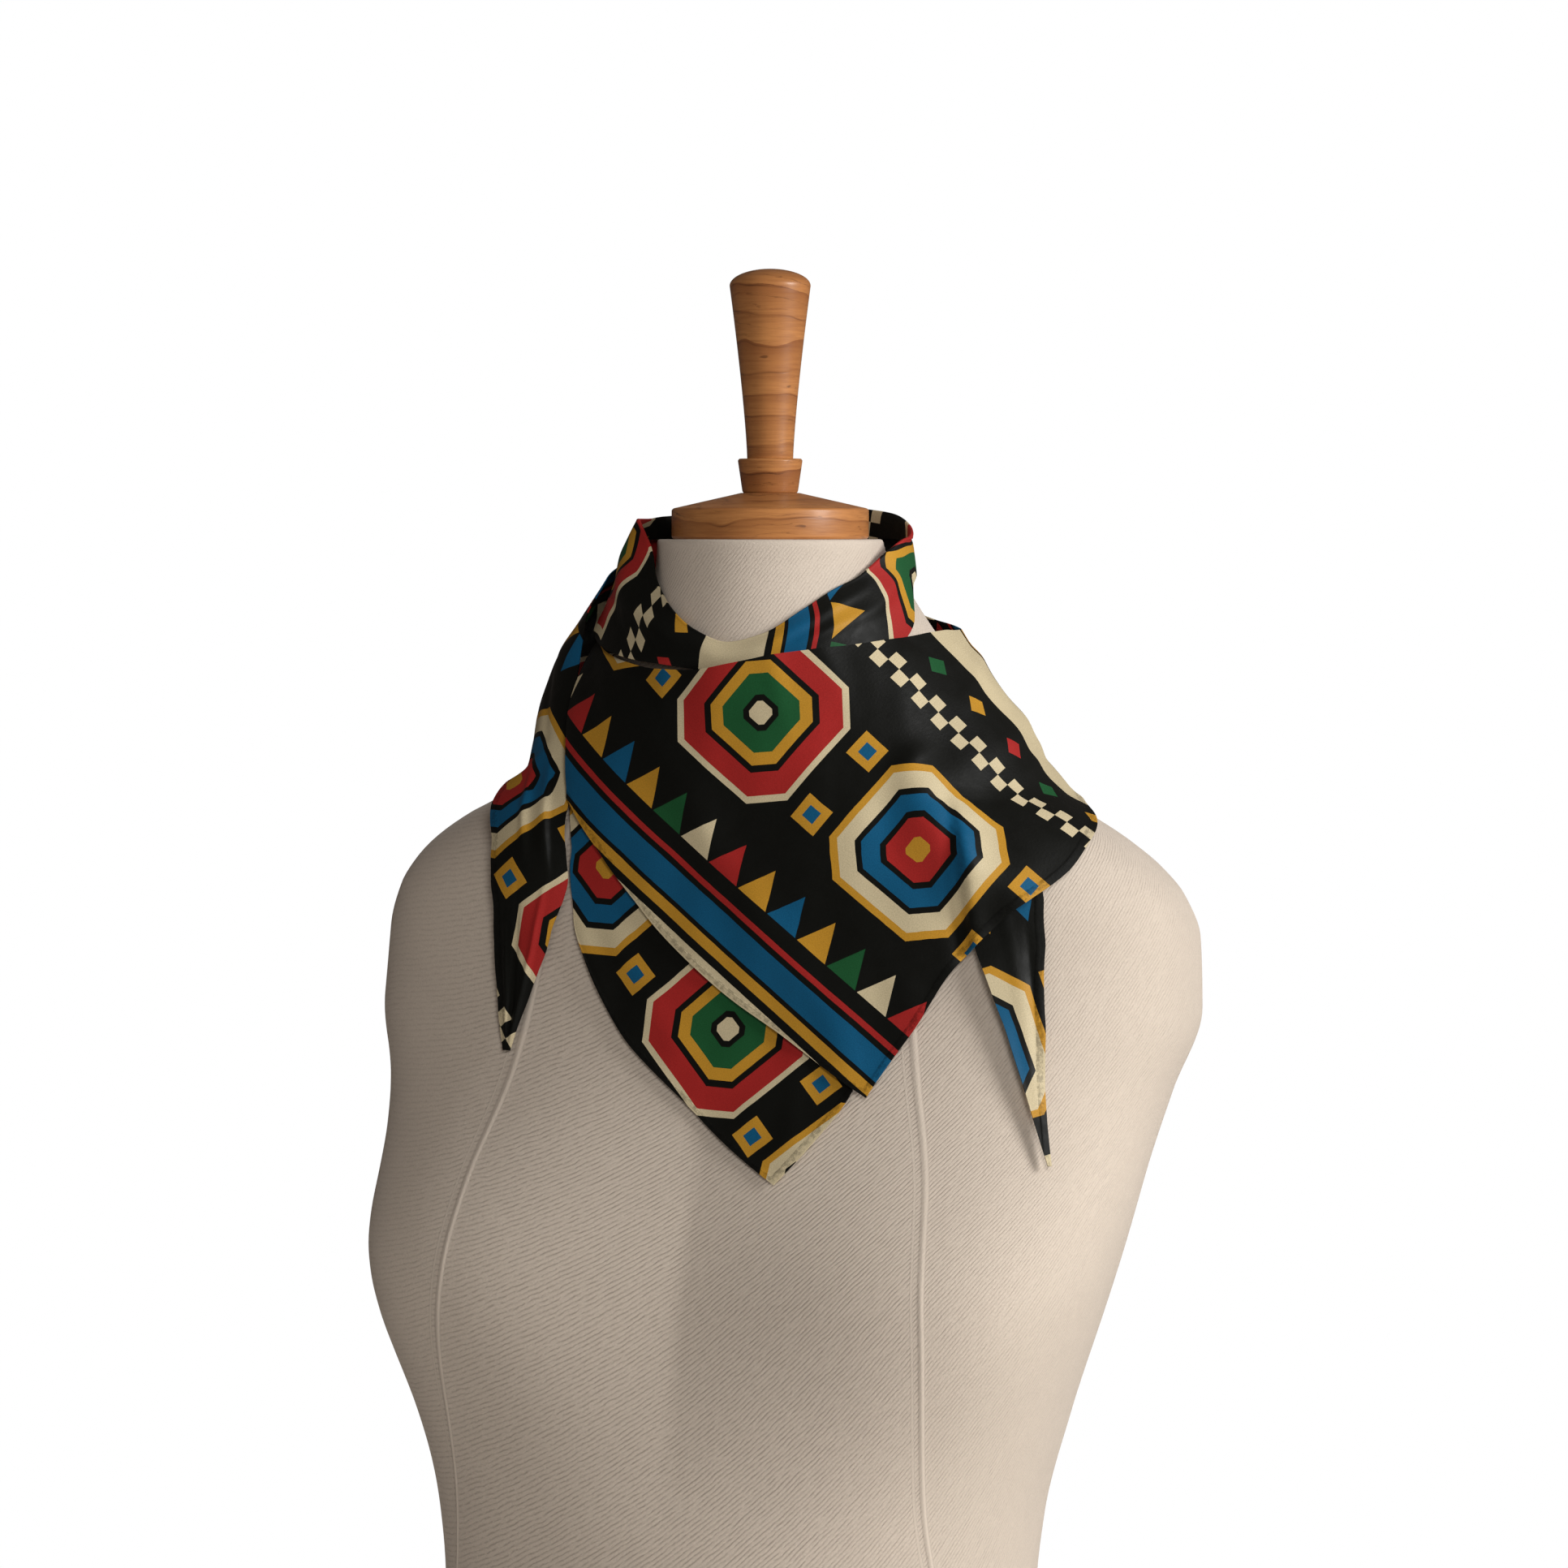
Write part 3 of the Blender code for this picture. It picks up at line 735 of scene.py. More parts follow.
def woodFinish():
    finish, shader = newFinish("varnishedWood", wood["sockets"])
    where = coordinates()
    z = parted(where)[2]
    swirl = noise(where, 26, 2, 0.5, (1.0, 1.0, 1.6))
    level = plus(times(z, 1000), times(swirl, 13))
    level = divided(level, wood["grainPitch"])
    year = calc("FRACT", level)
    tone = addNode("TexWhiteNoise")
    tone.noise_dimensions = "1D"
    plug(calc("FLOOR", level), tone.inputs["W"])
    late = times(calc("POWER", year, 1.6), 0.55)
    fibres = noise(where, 90, 3, 0.6, (1.0, 1.0, 9.0))
    edge = spread(calc("ABSOLUTE", minus(year, 0.93)), 0.0, 0.04, 1.0, 0.0)
    patchy = spread(noise(where, 34, 2, 0.5, (1, 1, 2.5)), 0.42, 0.62, 0.05, 0.9)
    line = times(edge, patchy)
    second = calc("FRACT", plus(times(level, 2.7), times(fibres, 0.9)))
    hair = spread(calc("ABSOLUTE", minus(second, 0.5)), 0.0, 0.07, 1.0, 0.0)
    hair = times(hair, spread(noise(where, 45, 2, 0.5), 0.42, 0.60, 0.0, 1.0))
    fine = noise(where, 60, 4, 0.6, (1.0, 1.0, 14.0))
    banded = plus(late, times(tone.outputs["Value"], 0.45))
    colour = blend(banded, wood["light"], wood["middle"])
    colour = blend(spread(fine, 0.40, 0.70, 0.0, 0.5), colour, wood["middle"])
    colour = blend(times(hair, 0.50), colour, wood["dark"])
    colour = blend(times(line, 0.75), colour, wood["dark"])
    knots = spread(noise(where, 130, 1, 0.4, (1.0, 1.0, 3.4)), 0.745, 0.79, 0.0, 0.6)
    colour = blend(knots, colour, wood["dark"])
    join(colour, shader.inputs["Base Color"])
    join(relief(minus(fine, line), wood["grainDepth"]), shader.inputs["Normal"])
    join(spread(fine, 0.3, 0.7, 0.38, 0.50), shader.inputs["Roughness"])
    return finish


def turnPiece(name, node, profile, base, finish):
    foot = (profile[0][0], -wood["reach"])
    profile = [foot, *profile[1:]]
    bpy.ops.object.select_all(action="DESELECT")
    bpy.ops.mesh.primitive_circle_add(
        vertices=wood["sides"], radius=foot[0] * mm, fill_type="NGON", location=(0, 0, (base + foot[1]) * mm)
    )
    piece = bpy.context.object
    piece.name = name
    editAll()
    for (radius, height), (wider, higher) in zip(profile, profile[1:]):
        bpy.ops.mesh.extrude_region_move(TRANSFORM_OT_translate={"value": (0, 0, (higher - height) * mm)})
        grow = wider / radius
        bpy.ops.transform.resize(value=(grow, grow, 1), center_override=(0, 0, (base + higher) * mm))
    bpy.ops.mesh.select_all(action="SELECT")
    bpy.ops.mesh.normals_make_consistent(inside=False)
    bpy.ops.object.mode_set(mode="OBJECT")
    bpy.ops.object.transform_apply(location=True, rotation=True, scale=True)
    soften = piece.modifiers.new("softEdges", "BEVEL")
    soften.width = wood["bevel"] * mm
    soften.segments = 3
    soften.limit_method = "ANGLE"
    soften.angle_limit = math.radians(25)
    bpy.ops.object.modifier_apply(modifier=soften.name)
    bpy.ops.object.shade_smooth_by_angle(angle=math.radians(35))
    piece.data.materials.append(finish)
    finishPiece(piece, node)


def addWood():
    finish = woodFinish()
    grip = wood["handle"]
    straight = grip["height"] - grip["dome"]
    shape = [(grip["foot"], 0)]
    for i in range(1, grip["steps"] + 1):
        up = i / grip["steps"]
        shape.append((grip["foot"] + (grip["top"] - grip["foot"]) * up ** grip["swell"], straight * up))
    for i in range(1, grip["steps"] + 1):
        turn = math.radians(88 * i / grip["steps"])
        shape.append((grip["top"] * math.cos(turn), straight + grip["dome"] * math.sin(turn)))
    base = neckTop + wood["gap"]
    turnPiece("turnedCap", "neck_cap", wood["cap"], base, finish)
    base += wood["cap"][-1][1] + wood["gap"]
    turnPiece("turnedCollar", "finial_collar", wood["collar"], base, finish)
    base += wood["collar"][-1][1] + wood["gap"]
    turnPiece("turnedHandle", "finial_handle", shape, base, finish)
    print("turned wood done")


# Cloth: a grid of ribs across the scarf, each from its near edge by the neck to its far edge
ribColumns = "rib nearAngle nearDrop nearLift middleLift farAngle farDrop farLift"
creaseColumns = "startRib startAcross endRib endAcross bow width height fadeIn fadeOut lean"
silkWall = {"thin": 0.5, "hemRows": 5, "hemStep": 1.1, "hemRise": 0.12, "ripple": 0.22}
layOut = {"perRib": 3, "rows": 25, "readRows": 61}


def flatten(points):  # lays a coarse grid of cloth out flat, true to size, with its ribs' middles along x
    rows, columns = points.shape[:2]
    flat = np.zeros((rows * columns, 2))
    helper = addMesh("layOut", points, gridFaces(rows, columns), bpy.data.materials[0], {"flat": flat})
    pickOnly(helper)
    editAll()
    bpy.ops.uv.unwrap(method="ANGLE_BASED", margin=0)
    bpy.ops.object.mode_set(mode="OBJECT")
    mesh = helper.data
    corners = cornerPoints(mesh)
    laid = np.zeros(len(corners) * 2)
    mesh.uv_layers[0].data.foreach_get("uv", laid)
    flat[corners] = laid.reshape(-1, 2)
    flat = flat.reshape(rows, columns, 2)
    trueArea = sum(face.area for face in mesh.polygons) / mm**2
    bpy.data.objects.remove(helper)
    bpy.data.meshes.remove(mesh)
    a, b, c, d = flat[:-1, :-1], flat[1:, :-1], flat[1:, 1:], flat[:-1, 1:]
    first = c - a
    second = d - b
    flatArea = np.abs(first[..., 0] * second[..., 1] - first[..., 1] * second[..., 0]).sum() / 2
    flat = (flat - flat[rows // 2, 0]) * math.sqrt(trueArea / flatArea)
    way = flat[rows // 2, -1]
    return turnFlat(flat, -math.atan2(way[1], way[0]))


def lookUp(grid, column, row):  # reads a coarse grid between its points
    rows, columns = grid.shape[:2]
    column = np.clip(column, 0, columns - 1)
    row = np.clip(row, 0, rows - 1)
    j = np.minimum(column.astype(int), columns - 2)
    i = np.minimum(row.astype(int), rows - 2)
    s = (column - j)[..., None]
    t = (row - i)[..., None]
    top = grid[i, j] * (1 - s) + grid[i, j + 1] * s
    foot = grid[i + 1, j] * (1 - s) + grid[i + 1, j + 1] * s
    return top * (1 - t) + foot * t


# Soft ridges, or troughs with a negative height. With a lean, one side is steep, as on a pleat
def creaseLift(creases, flat, place):
    raised = np.zeros(flat.shape[:2])
    for k in range(len(creases["height"])):
        row = {name: column[k] for name, column in creases.items()}
        start = place(row["startRib"], row["startAcross"])
        end = place(row["endRib"], row["endAcross"])
        way = end - start
        aside = np.array([way[1], -way[0]]) / np.linalg.norm(way)
        knots = 18
        steps = np.linspace(0, 1, knots + 1)
        line = start + steps[:, None] * way + (4 * steps * (1 - steps))[:, None] * aside * row["bow"]
        best = np.full(flat.shape[:2], 1e9)
        along = np.zeros(flat.shape[:2])
        side = np.zeros(flat.shape[:2])
        for i in range(knots):
            piece = line[i + 1] - line[i]
            share = np.clip(((flat - line[i]) @ piece) / (piece @ piece), 0, 1)
            fromLine = flat - line[i] - share[..., None] * piece
            off = np.linalg.norm(fromLine, axis=-1)
            closer = off < best
            best = np.where(closer, off, best)
            side = np.where(closer, fromLine[..., 0] * piece[1] - fromLine[..., 1] * piece[0], side)
            along = np.where(closer, (i + share) / knots, along)
        taper = np.ones(flat.shape[:2])
        for fade, run in ((row["fadeIn"], along), (row["fadeOut"], 1 - along)):
            if fade > 0:
                taper *= np.sin(np.clip(run / fade, 0, 1) * math.pi / 2)
        width = np.where(side * row["lean"] > 0, row["width"] * 0.22, row["width"])
        raised += row["height"] * taper * np.exp(-((best / width) ** 2))
    return raised


def ripples(flat, size):  # slow unevenness that all hanging cloth has
    x = flat[..., 0]
    y = flat[..., 1]
    waves = np.sin(x / 7.1 + 0.8 * np.sin(y / 11.0)) * np.sin(y / 9.3 + 1.3) + 0.6 * np.sin(x / 4.4 - y / 6.7)
    return size * waves


def acrossShares(length, rows):  # rows close together along both hems, and even between them
    near = silkWall["hemRows"]
    step = np.minimum(silkWall["hemStep"], length / (rows - 1))
    edge = np.arange(near)[:, None] * step[None, :]
    inner = np.linspace(0, 1, rows - 2 * near + 2)[1:-1, None]
    start = near * step
    span = length - 2 * start
    middle = start[None, :] + inner * span[None, :]
    return np.concatenate([edge, middle, length[None, :] - edge[::-1]], axis=0) / length[None, :]


def ribPlace(cloth, rib, across):  # angle, drop and lift of a place on the cloth
    held = {name: readColumn(cloth["ribs"], name, rib, cloth.get("point")) for name in ribColumns.split()[1:]}
    angle = held["nearAngle"] + (held["farAngle"] - held["nearAngle"]) * across
    drop = held["nearDrop"] + (held["farDrop"] - held["nearDrop"]) * across
    near = held["nearLift"] * (1 - across) * (1 - 2 * across)
    middle = held["middleLift"] * 4 * across * (1 - across)
    far = held["farLift"] * across * (2 * across - 1)
    lift = near + middle + far
    if "folds" in cloth:
        lift = lift + foldLift(cloth["folds"], rib, across)
    return angle, drop, lift


def foldLift(folds, rib, across):  # the largest folds, as the solids have them, measured in ribs
    acrossRibs = 8.0
    raised = np.zeros(np.broadcast(rib, across).shape)
    for i in range(len(folds["height"])):
        start = np.array([folds["startRib"][i], folds["startAcross"][i] * acrossRibs])
        way = np.array([folds["endRib"][i], folds["endAcross"][i] * acrossRibs]) - start
        length = math.hypot(*way)
        east = rib - start[0]
        south = across * acrossRibs - start[1]
        along = (east * way[0] + south * way[1]) / length
        aside = (east * way[1] - south * way[0]) / length
        beyond = np.maximum(0, np.maximum(-along, along - length))
        raised += folds["height"][i] * np.exp(-((aside**2 + beyond**2) / folds["width"][i] ** 2))
    return raised


# The hem is on the far edge, and the near edge is a fold
def addCloth(name, node, points, printed, finish, thick, hemmed):
    rows, columns = points.shape[:2]
    run = np.repeat(lengthAlong(points[-1:], 1), rows, axis=0)
    down = lengthAlong(points, 0)
    fromEdge = down[-1:] - down + (0 if hemmed else 50)  # with no hem, all of it is far from one
    maps = {"clothFlat": printed, "hemLine": np.stack([run, fromEdge], axis=-1)}
    piece = addMesh(name, points, gridFaces(rows, columns), finish, maps)
    area = sum(face.area for face in piece.data.polygons)
    pickOnly(piece)
    wall = piece.modifiers.new("wall", "SOLIDIFY")
    wall.thickness = thick * mm
    wall.offset = -1
    wall.use_even_offset = False
    bpy.ops.object.modifier_apply(modifier=wall.name)
    piece.data.shade_smooth()
    piece.data.set_sharp_from_angle(angle=math.radians(60))
    finishPiece(piece, node)
    print(name, "area %.4f m2" % area, len(piece.data.polygons), "faces")
    return piece


def ribbedSheet(cloth, finish):
    last = cloth["ribs"]["rib"][-1]

    def surface(ribs, rows):
        return onForm(*ribPlace(cloth, ribs[None, :], np.linspace(0, 1, rows)[:, None]))

    laid = flatten(surface(np.linspace(0, last, int(last) * layOut["perRib"] + 1), layOut["rows"]))
    ribs = np.linspace(0, last, int(last * cloth["steps"]) + 1)
    length = lengthAlong(surface(ribs, layOut["readRows"]), 0)[-1]
    across = acrossShares(length, cloth["rows"])
    rib = np.broadcast_to(ribs[None, :], across.shape)

    def place(atRib, atAcross):
        return lookUp(laid, np.array(atRib * layOut["perRib"]), np.array(atAcross * (layOut["rows"] - 1.0)))

    flat = place(rib, across)
    angle, drop, lift = ribPlace(cloth, rib, across)
    fromEdge = (1 - across) * length[None, :]
    hem = silkWall["hemRise"] * np.clip(silkCloth["hemWidth"] + 0.5 - fromEdge, 0, 1)
    lift = lift + creaseLift(cloth["creases"], flat, place) + ripples(flat, silkWall["ripple"]) + hem
    lift = np.maximum(lift, cloth["lowest"])
    printed = turnFlat(flat, math.radians(cloth["printTurn"])) + np.array(cloth["printShift"])
    print(cloth["name"], "laid flat:", np.round(np.ptp(flat.reshape(-1, 2), axis=0)), "mm")
    points = onForm(angle, drop, lift)
    return addCloth(cloth["name"], cloth["node"], points, printed, finish, silkWall["thin"], True)


overPanel = {
    "name": "overPanel",
    "node": "front_over_panel",
    "point": 6,
    "lowest": 3.9,
    "steps": 9,
    "rows": 112,
    "printTurn": -19.0,
    "printShift": (60.0, 30.0),
    "ribs": table(
        ribColumns,
        (0, 210, 50, 11, 9.5, 218, 112, 5),
        (1, 220, 52.5, 7.5, 8, 229, 130, 4.6),
        (2, 232, 54.5, 6.6, 7.5, 241, 147, 4.3),
        (3, 246, 56, 6, 7, 254, 166, 4.3),
        (4, 260, 55.5, 6.8, 7, 272, 189, 4.3),
        (5, 273, 52.5, 7.5, 7, 289.5, 208, 4.3),
        (6, 285, 49.5, 8, 7, 307, 232, 4.3),
        (7, 293, 48.5, 8, 7, 311.6, 216, 4.6),
        (8, 301, 48, 8, 7, 316.4, 199.5, 5),
        (9, 309, 47.5, 8, 7, 321.2, 181, 6),
        (10, 317, 47, 8, 7.5, 325.9, 168, 6.6),
        (11, 326, 46, 7.5, 7.2, 333, 153.6, 6.6),
        (12, 335, 45, 7, 6.4, 340.6, 142.5, 6),
        (13, 344, 44.5, 8, 6, 350, 129, 5.3),
        (14, 353, 44.5, 9, 5.6, 357, 122, 5),
        (15, 362, 45, 9, 5.6, 363, 117, 5),
        (16, 372, 45, 9, 5.6, 373, 114, 5),
        (17, 384, 42, 8, 6, 386, 108, 5.2),
        (18, 398, 37, 6.4, 7, 401, 99, 6),
        (19, 414, 30, 6.4, 8, 416, 87, 6.4),
        (20, 430, 25, 6.4, 9, 431, 73, 7),
    ),
    "folds": table(
        "startRib startAcross endRib endAcross width height",
        (10.6, 0.45, 11, 1, 0.5, 3.5),
        (9.6, 0.55, 9.7, 1, 0.5, -0.8),
        (11.5, 0.55, 18, 0.52, 0.8, 1.6),
        (12.5, 0.92, 17, 0.88, 0.7, 0.8),
        (2, 0.1, 5.2, 0.75, 0.7, 1.6),
    ),
    "creases": table(
        creaseColumns,
        (4.3, 0.52, 7.8, 0.38, -6, 15, -0.9, 0.4, 0.4, 0),
        (0.9, 0.02, 2.4, 0.42, 3, 6, 1, 0, 0.7, 0),
        (3.1, 0, 3.7, 0.3, 2, 5, 0.7, 0, 0.8, 0),
        (6.1, 0, 6.7, 0.26, 0, 5, 0.8, 0, 0.8, 0),
        (8, 0, 8.9, 0.34, -3, 6, 0.9, 0, 0.8, 0),
        (11.6, 0.02, 10.7, 0.46, 5, 7, 1.1, 0.1, 0.6, 0),
        (11.5, 0.6, 9.85, 1, 0, 8, 3.6, 0.55, 0, 1),
        (11.1, 0.66, 9.5, 1, 0, 4, -1.6, 0.5, 0, 0),
        (5.5, 0.72, 5.9, 0.97, 0, 6, 0.8, 0.8, 0.2, 0),
        (7.6, 0.7, 8.1, 1, 2, 7, 0.8, 0.7, 0, 0),
        (12.4, 0.36, 17.4, 0.26, -4, 5, 1, 0.4, 0.4, 0),
        (13, 0.72, 17.2, 0.7, 4, 4.5, 1.1, 0.3, 0.4, 0),
        (14.5, 0.08, 19.6, 0.28, 3, 6, 1, 0.4, 0.3, 0),
        (17.2, 0.5, 20, 0.66, 3, 5, 1.3, 0.5, 0, 0),
        (17, 0.8, 20, 0.4, -4, 5, -0.9, 0.5, 0, 0),
    ),
}
underPanel = {
    "name": "underPanel",
    "node": "front_under_panel",
    "point": 4,
    "lowest": 1.5,
    "steps": 15,
    "rows": 84,
    "printTurn": -42.0,
    "printShift": (120.0, 70.0),
    "ribs": table(
        ribColumns,
        (0, 210, 82, 2, 2.2, 232, 165, 2.2),
        (1, 220, 80, 2, 2.2, 238, 186, 2.2),
        (2, 232, 79, 2, 2.2, 248, 211, 2.2),
        (3, 246, 78, 2, 2.2, 268, 240, 2.2),
        (4, 261, 77, 2, 2.2, 288, 267, 2.2),
        (5, 275, 77, 2, 2.2, 296, 250, 2.2),
        (6, 288, 78, 2, 2.2, 304, 230, 2.2),
        (7, 299, 79, 2, 2.2, 309, 202, 2.2),
        (8, 305, 80, 2, 2.2, 310, 168, 2.2),
    ),
    "creases": table(
        creaseColumns,
        (1, 0.6, 3.3, 0.92, 3, 7, 0.8, 0.5, 0.5, 0),
        (0.3, 0.82, 1.8, 0.97, 2, 5, 0.7, 0.4, 0.3, 0),
        (5.4, 0.7, 4.4, 0.97, 0, 6, 0.7, 0.6, 0.2, 0),
    ),
}
leftTail = {
    "name": "leftTail",
    "node": "left_tail",
    "lowest": 1.4,
    "steps": 9,
    "rows": 62,
    "printTurn": 66.0,
    "printShift": (40.0, 14.0),
    "ribs": table(
        ribColumns,
        (0, 70.5, 25, 6.4, 9, 71.5, 73, 7),
        (1, 92, 24, 6.4, 10, 92, 71, 7),
        (2, 120, 24, 6.6, 12, 119, 71, 7),
        (3, 146, 25, 8, 15, 144, 74, 7),
        (4, 166, 25.5, 14, 18, 161, 78, 7),
        (5, 182, 19, 20, 20, 174, 81, 7),
        (6, 196, 24, 21, 21, 184, 82, 7.5),
        (7, 204, 42, 21, 18, 191, 84, 7.5),
        (8, 209, 61, 11, 12, 198, 90, 7),
        (9, 211.5, 78, 6, 8, 202.2, 102, 6.5),
        (10, 214.5, 97, 4, 8, 199.5, 110, 8.5),
        (11, 218, 112, 3.6, 9, 202.5, 119, 9.5),
        (12, 221, 128, 3.4, 9.5, 208, 132, 8.5),
        (13, 227, 149, 3.2, 8.5, 212.5, 147, 7),
        (14, 227.5, 168, 3, 6.5, 216.5, 165, 5.6),
        (15, 226, 187, 2.6, 5, 218.5, 185, 4.4),
        (16, 223.8, 218, 2.6, 2.8, 222.4, 218, 2.8),
    ),
    "creases": table(
        creaseColumns,
        (0, 0.28, 6.5, 0.34, 3, 5, 1.4, 0, 0.4, 0),
        (0, 0.62, 5.5, 0.7, -3, 5, 1.2, 0, 0.5, 0),
        (1.2, 0.46, 5.8, 0.5, 2, 4, -1, 0.4, 0.4, 0),
        (6.2, 0.55, 9.4, 0.46, 0, 3.5, -1.1, 0.4, 0.4, 0),
        (9.6, 0.62, 12.6, 0.52, 0, 2.2, 1.5, 0.3, 0.5, 0),
        (9.6, 0.26, 12.8, 0.22, 0, 4.5, 2, 0.3, 0.4, -1),
        (12.6, 0.22, 16, 0.5, 0, 1.5, 1, 0.4, 0.1, 0),
        (12.8, 0.62, 16, 0.5, 0, 1.5, -0.9, 0.4, 0.1, 0),
        (13.6, 0.82, 16, 0.55, 0, 1.3, 0.8, 0.4, 0.1, 0),
    ),
}
rightTail = {
    "name": "rightTail",
    "node": "right_tail",
    "lowest": 1.4,
    "steps": 8,
    "rows": 40,
    "printTurn": 12.0,
    "printShift": (128.0, 20.0),
    "ribs": table(
        ribColumns,
        (0, 206, 66, 2.2, 2.4, 200, 86, 2.2),
        (1, 182, 52, 2.2, 2.4, 177, 76, 2.2),
        (2, 154, 44, 2.2, 2.4, 152, 70, 2.2),
        (3, 128, 40, 2.2, 2.4, 126, 66, 2.2),
        (4, 102, 38, 2.2, 2.4, 101, 66, 2.2),
        (5, 76, 38, 2.2, 2.4, 76, 66, 2.2),
        (6, 52, 41, 2.2, 2.4, 53, 74, 2.2),
        (7, 30, 47, 2.2, 2.4, 34, 86, 2.2),
        (8, 10, 54, 2.2, 2.4, 17, 98, 2.2),
        (9, -8, 68, 2.2, 2.4, 4, 108, 2.2),
        (10, -22, 92, 2.2, 2.4, -8, 117, 2.2),
        (11, -31, 124, 2.2, 2.4, -19, 127, 2.2),
        (12, -35.5, 150, 2.6, 2.8, -22.5, 147, 2.4),
        (13, -34.8, 169, 4, 3.6, -25.5, 166, 2.8),
        (14, -33.6, 184, 7, 5.5, -26.6, 187, 4),
        (15, -31.6, 208, 7, 5.5, -26.9, 208, 4),
        (16, -28.6, 233, 6, 5, -26, 238, 4.4),
        (17, -26.6, 259, 5, 5, -26, 259, 5),
    ),
    "creases": table(
        creaseColumns,
        (11.6, 0.62, 16.8, 0.58, 1, 3, 0.5, 0.3, 0.2, 0),
        (12.4, 0.8, 15.6, 0.78, 0, 2, -0.7, 0.4, 0.4, 0),
    ),
}

# Neck wrap: the folded long edge stands round the neck as a soft roll, read by the angle round it
neckWrap = {
    "from": 96.0,
    "to": 470.0,
    "columns": 330,
    "outerRows": 34,
    "tuckRows": 9,
    "tuckShare": 0.34,
    "roll": 0.9,
    "belly": 0.45,
    "overlap": 2.0,
    "overlapFrom": 436.0,
    "overlapOver": 24.0,
    "tuckEnd": 0.04,
    "ripple": 0.18,
    "thick": 0.6,
    "printTurn": 8.0,
    "printShift": (22.0, 166.0),
    "sections": table(
        "angle topDrop topLift bellyDrop bellyLift footDrop footLift",
        (0, 4.8, 7.8, 11, 8.3, 20.5, 5.5),
        (8, 2, 10.5, 9, 10, 18.5, 6),
        (20, -2.5, 13, 7, 12, 17, 7),
        (50, -10.5, 13, 4, 12, 22, 9),
        (80, -13, 11, 6, 12, 25, 10),
        (110, -12, 10, 5, 12, 25, 10),
        (140, -10, 10, 4, 13, 23, 10),
        (165, -9, 9.5, 6, 14, 25, 11),
        (180, -8, 9, 10, 15, 34, 14),
        (200, -8, 9, 16, 17, 45, 15),
        (212, 1, 6, 24, 16, 50, 13),
        (224, 13, 4, 32, 12, 52.5, 10.5),
        (236, 23, 2.7, 38, 8, 53.5, 9),
        (248, 32, 2.7, 43, 6.5, 54, 7),
        (258, 39, 2.7, 47, 5.5, 55, 4.4),
        (270, 44, 2.7, 50, 5, 58, 3.6),
        (282, 40.5, 2.7, 47, 5.5, 57, 3.6),
        (296, 30.5, 2.7, 39, 6.5, 56, 3.6),
        (310, 22, 2.8, 32, 7, 54, 3.6),
        (322, 17.5, 3.2, 27, 7, 52.5, 4),
        (332, 13.5, 3.8, 23, 7, 46, 4.5),
        (341, 10.5, 4.6, 19, 7, 38.5, 5),
        (350, 7.5, 6, 15, 7.5, 28.5, 5),
    ),
    "creases": table(
        creaseColumns,
        (292, 0.62, 346, 0.42, 4, 3.2, 1.1, 0.3, 0.3, 0),
        (280, 0.5, 332, 0.24, 3, 2.6, -0.7, 0.3, 0.4, 0),
        (206, 0.34, 262, 0.66, -3, 4.5, 0.9, 0.4, 0.4, 0),
        (198, 0.62, 238, 0.84, -2, 4, -0.9, 0.4, 0.4, 0),
        (380, 0.3, 450, 0.46, 3, 4, 1.4, 0.4, 0.2, 0),
        (386, 0.66, 460, 0.72, -2, 3, -0.9, 0.4, 0.2, 0),
        (108, 0.4, 196, 0.4, -4, 5, 1.3, 0.2, 0.4, 0),
        (118, 0.74, 188, 0.72, 3, 4, 0.9, 0.3, 0.4, 0),
    ),
}


def wrapPlace(angle, down):
    rows = neckWrap["sections"]
    held = {name: readColumn(rows, name, angle, turning=True) for name in list(rows)[1:]}
    upper = np.clip(down / neckWrap["belly"], 0, 1)
    lower = np.clip((down - neckWrap["belly"]) / (1 - neckWrap["belly"]), 0, 1)
    drop = held["topDrop"] + (held["bellyDrop"] - held["topDrop"]) * upper
    drop = drop + (held["footDrop"] - held["bellyDrop"]) * lower
    lift = held["topLift"] + (held["bellyLift"] - held["topLift"]) * np.sin(upper * math.pi / 2)
    lift = lift + (held["footLift"] - held["bellyLift"]) * lower**1.5
    return drop, lift


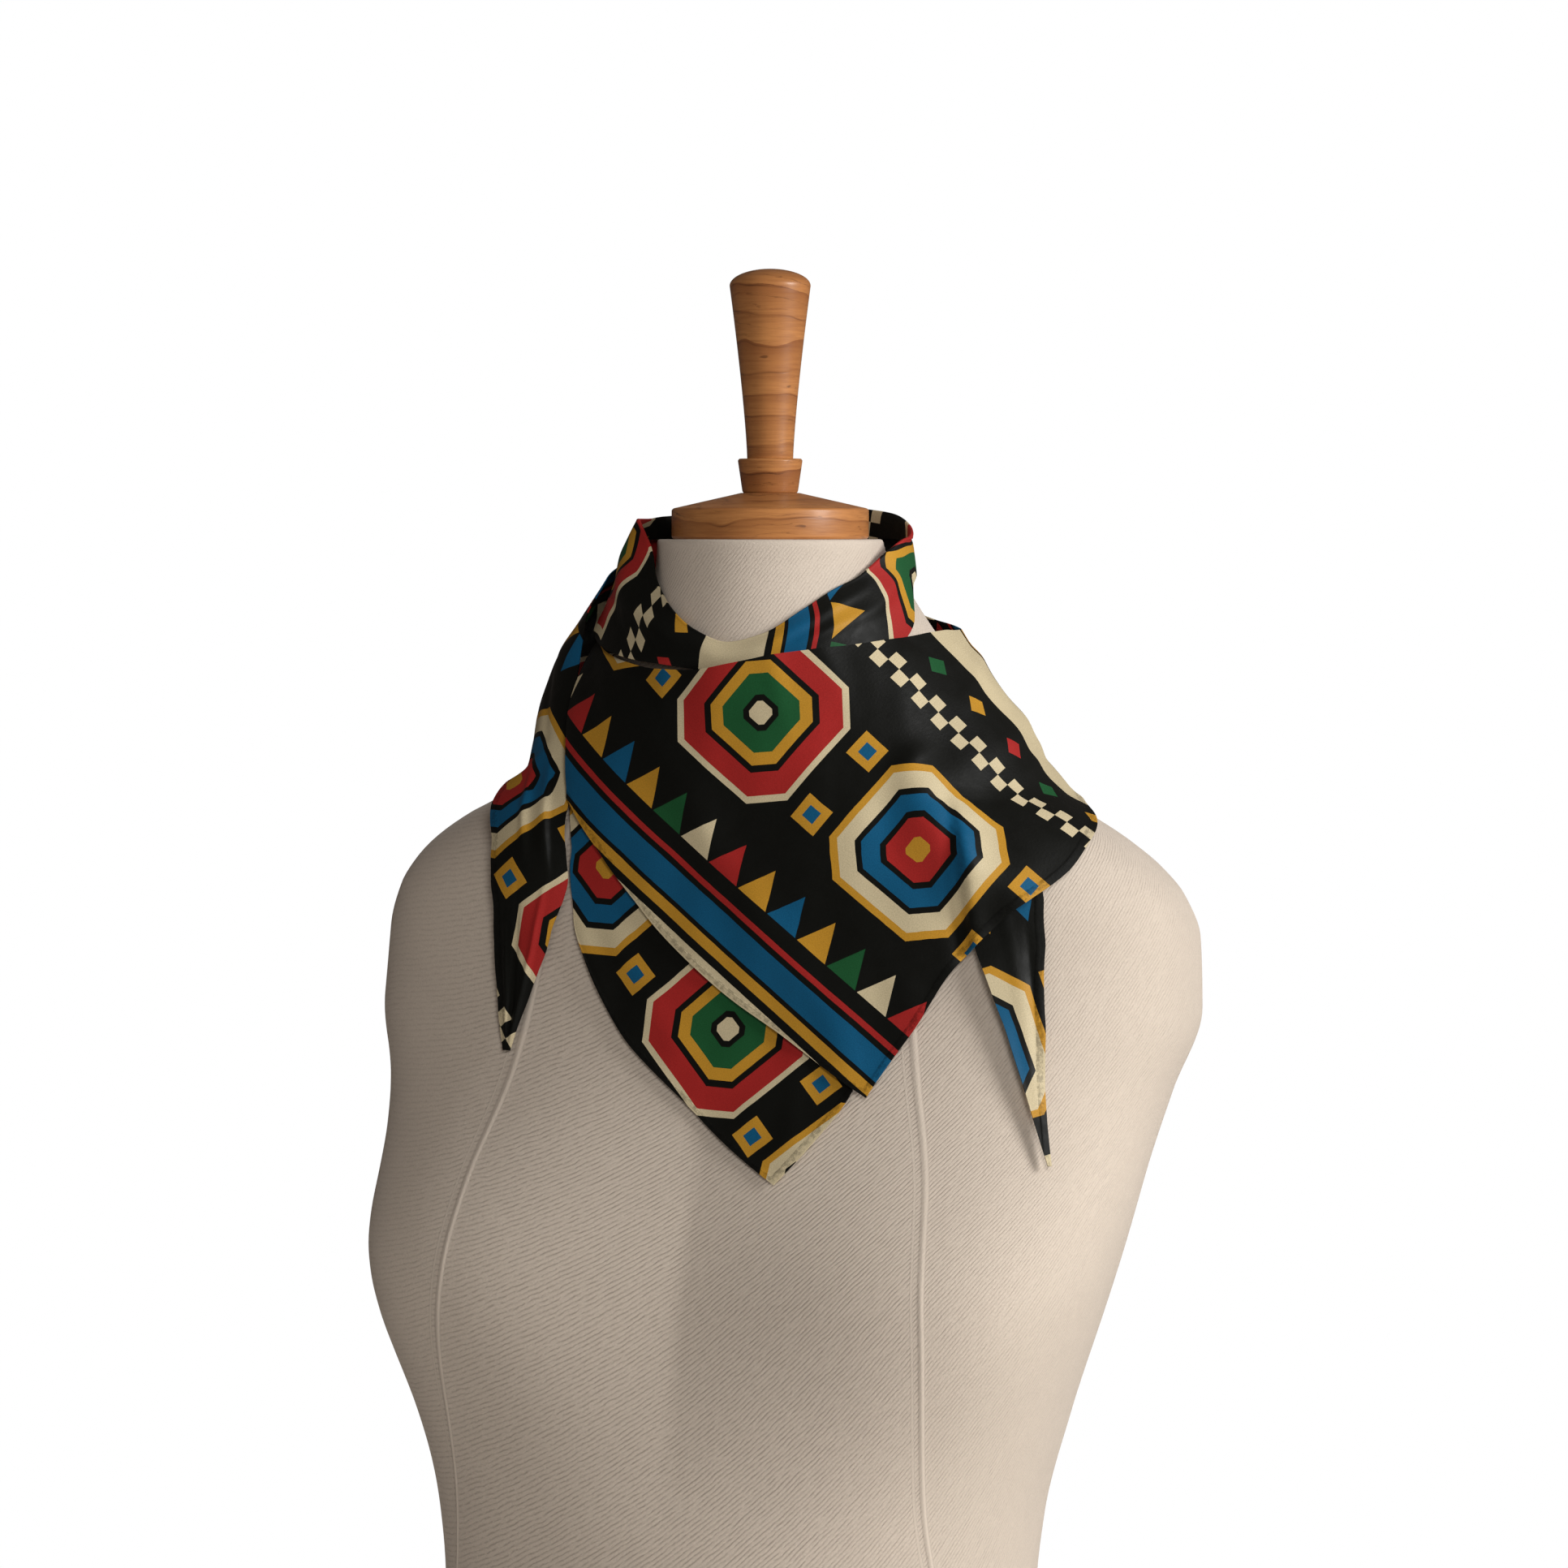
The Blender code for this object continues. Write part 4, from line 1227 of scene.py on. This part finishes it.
def addNeckWrap(finish):
    angles = np.linspace(neckWrap["from"], neckWrap["to"], neckWrap["columns"])[None, :]
    down = np.linspace(0, 1, neckWrap["outerRows"])[:, None]
    angles, down = np.broadcast_arrays(angles, down)
    drop, lift = wrapPlace(angles, down)
    over = np.clip((angles - neckWrap["overlapFrom"]) / neckWrap["overlapOver"], 0, 1)
    lift = lift + neckWrap["overlap"] * over * over * (3 - 2 * over)
    base = onForm(angles, drop, lift)
    middle = len(base) // 2
    run = lengthAlong(base[middle : middle + 1], 1)
    flat = np.stack([np.repeat(run, len(base), axis=0), -lengthAlong(base, 0)], axis=-1)

    def place(angle, share):
        column = (angle - neckWrap["from"]) / (neckWrap["to"] - neckWrap["from"]) * (neckWrap["columns"] - 1)
        return lookUp(flat, np.array(column), np.array(share * (neckWrap["outerRows"] - 1.0)))

    lift = lift + creaseLift(neckWrap["creases"], flat, place) + ripples(flat, neckWrap["ripple"])
    outer = onForm(angles, drop, lift)
    roll = neckWrap["roll"]
    tucked = np.linspace(neckWrap["tuckShare"], neckWrap["tuckEnd"], neckWrap["tuckRows"])[:, None]
    tuckAngles, tucked = np.broadcast_arrays(angles[:1], tucked)
    tuckDrop, tuckLift = wrapPlace(tuckAngles, tucked)
    inner = onForm(tuckAngles, tuckDrop, tuckLift - 2 * roll + neckWrap["overlap"] * over[:1])
    edge = outer[0]
    away = onForm(angles[0], drop[0], lift[0] + 1) - edge
    turns = np.radians([150, 120, 90, 60, 30])
    upright = np.array([0, 0, roll])
    bend = [edge - away * roll * (1 - math.cos(turn)) + upright * math.sin(turn) for turn in turns]
    points = np.concatenate([inner, np.array(bend), outer], axis=0)
    unrolled = np.stack([np.repeat(run, len(points), axis=0), -lengthAlong(points, 0)], axis=-1)
    printed = turnFlat(unrolled, math.radians(neckWrap["printTurn"])) + np.array(neckWrap["printShift"])
    return addCloth("neckWrap", "neck_wrap", points, printed, finish, neckWrap["thick"], False)


addCamera()
addStudio()
addTorso()
addWood()
silk = silkFinish()
wrapPiece = addNeckWrap(silk)
overPiece = ribbedSheet(overPanel, silk)
underPiece = ribbedSheet(underPanel, silk)
leftPiece = ribbedSheet(leftTail, silk)
rightPiece = ribbedSheet(rightTail, silk)
print("scarf done")
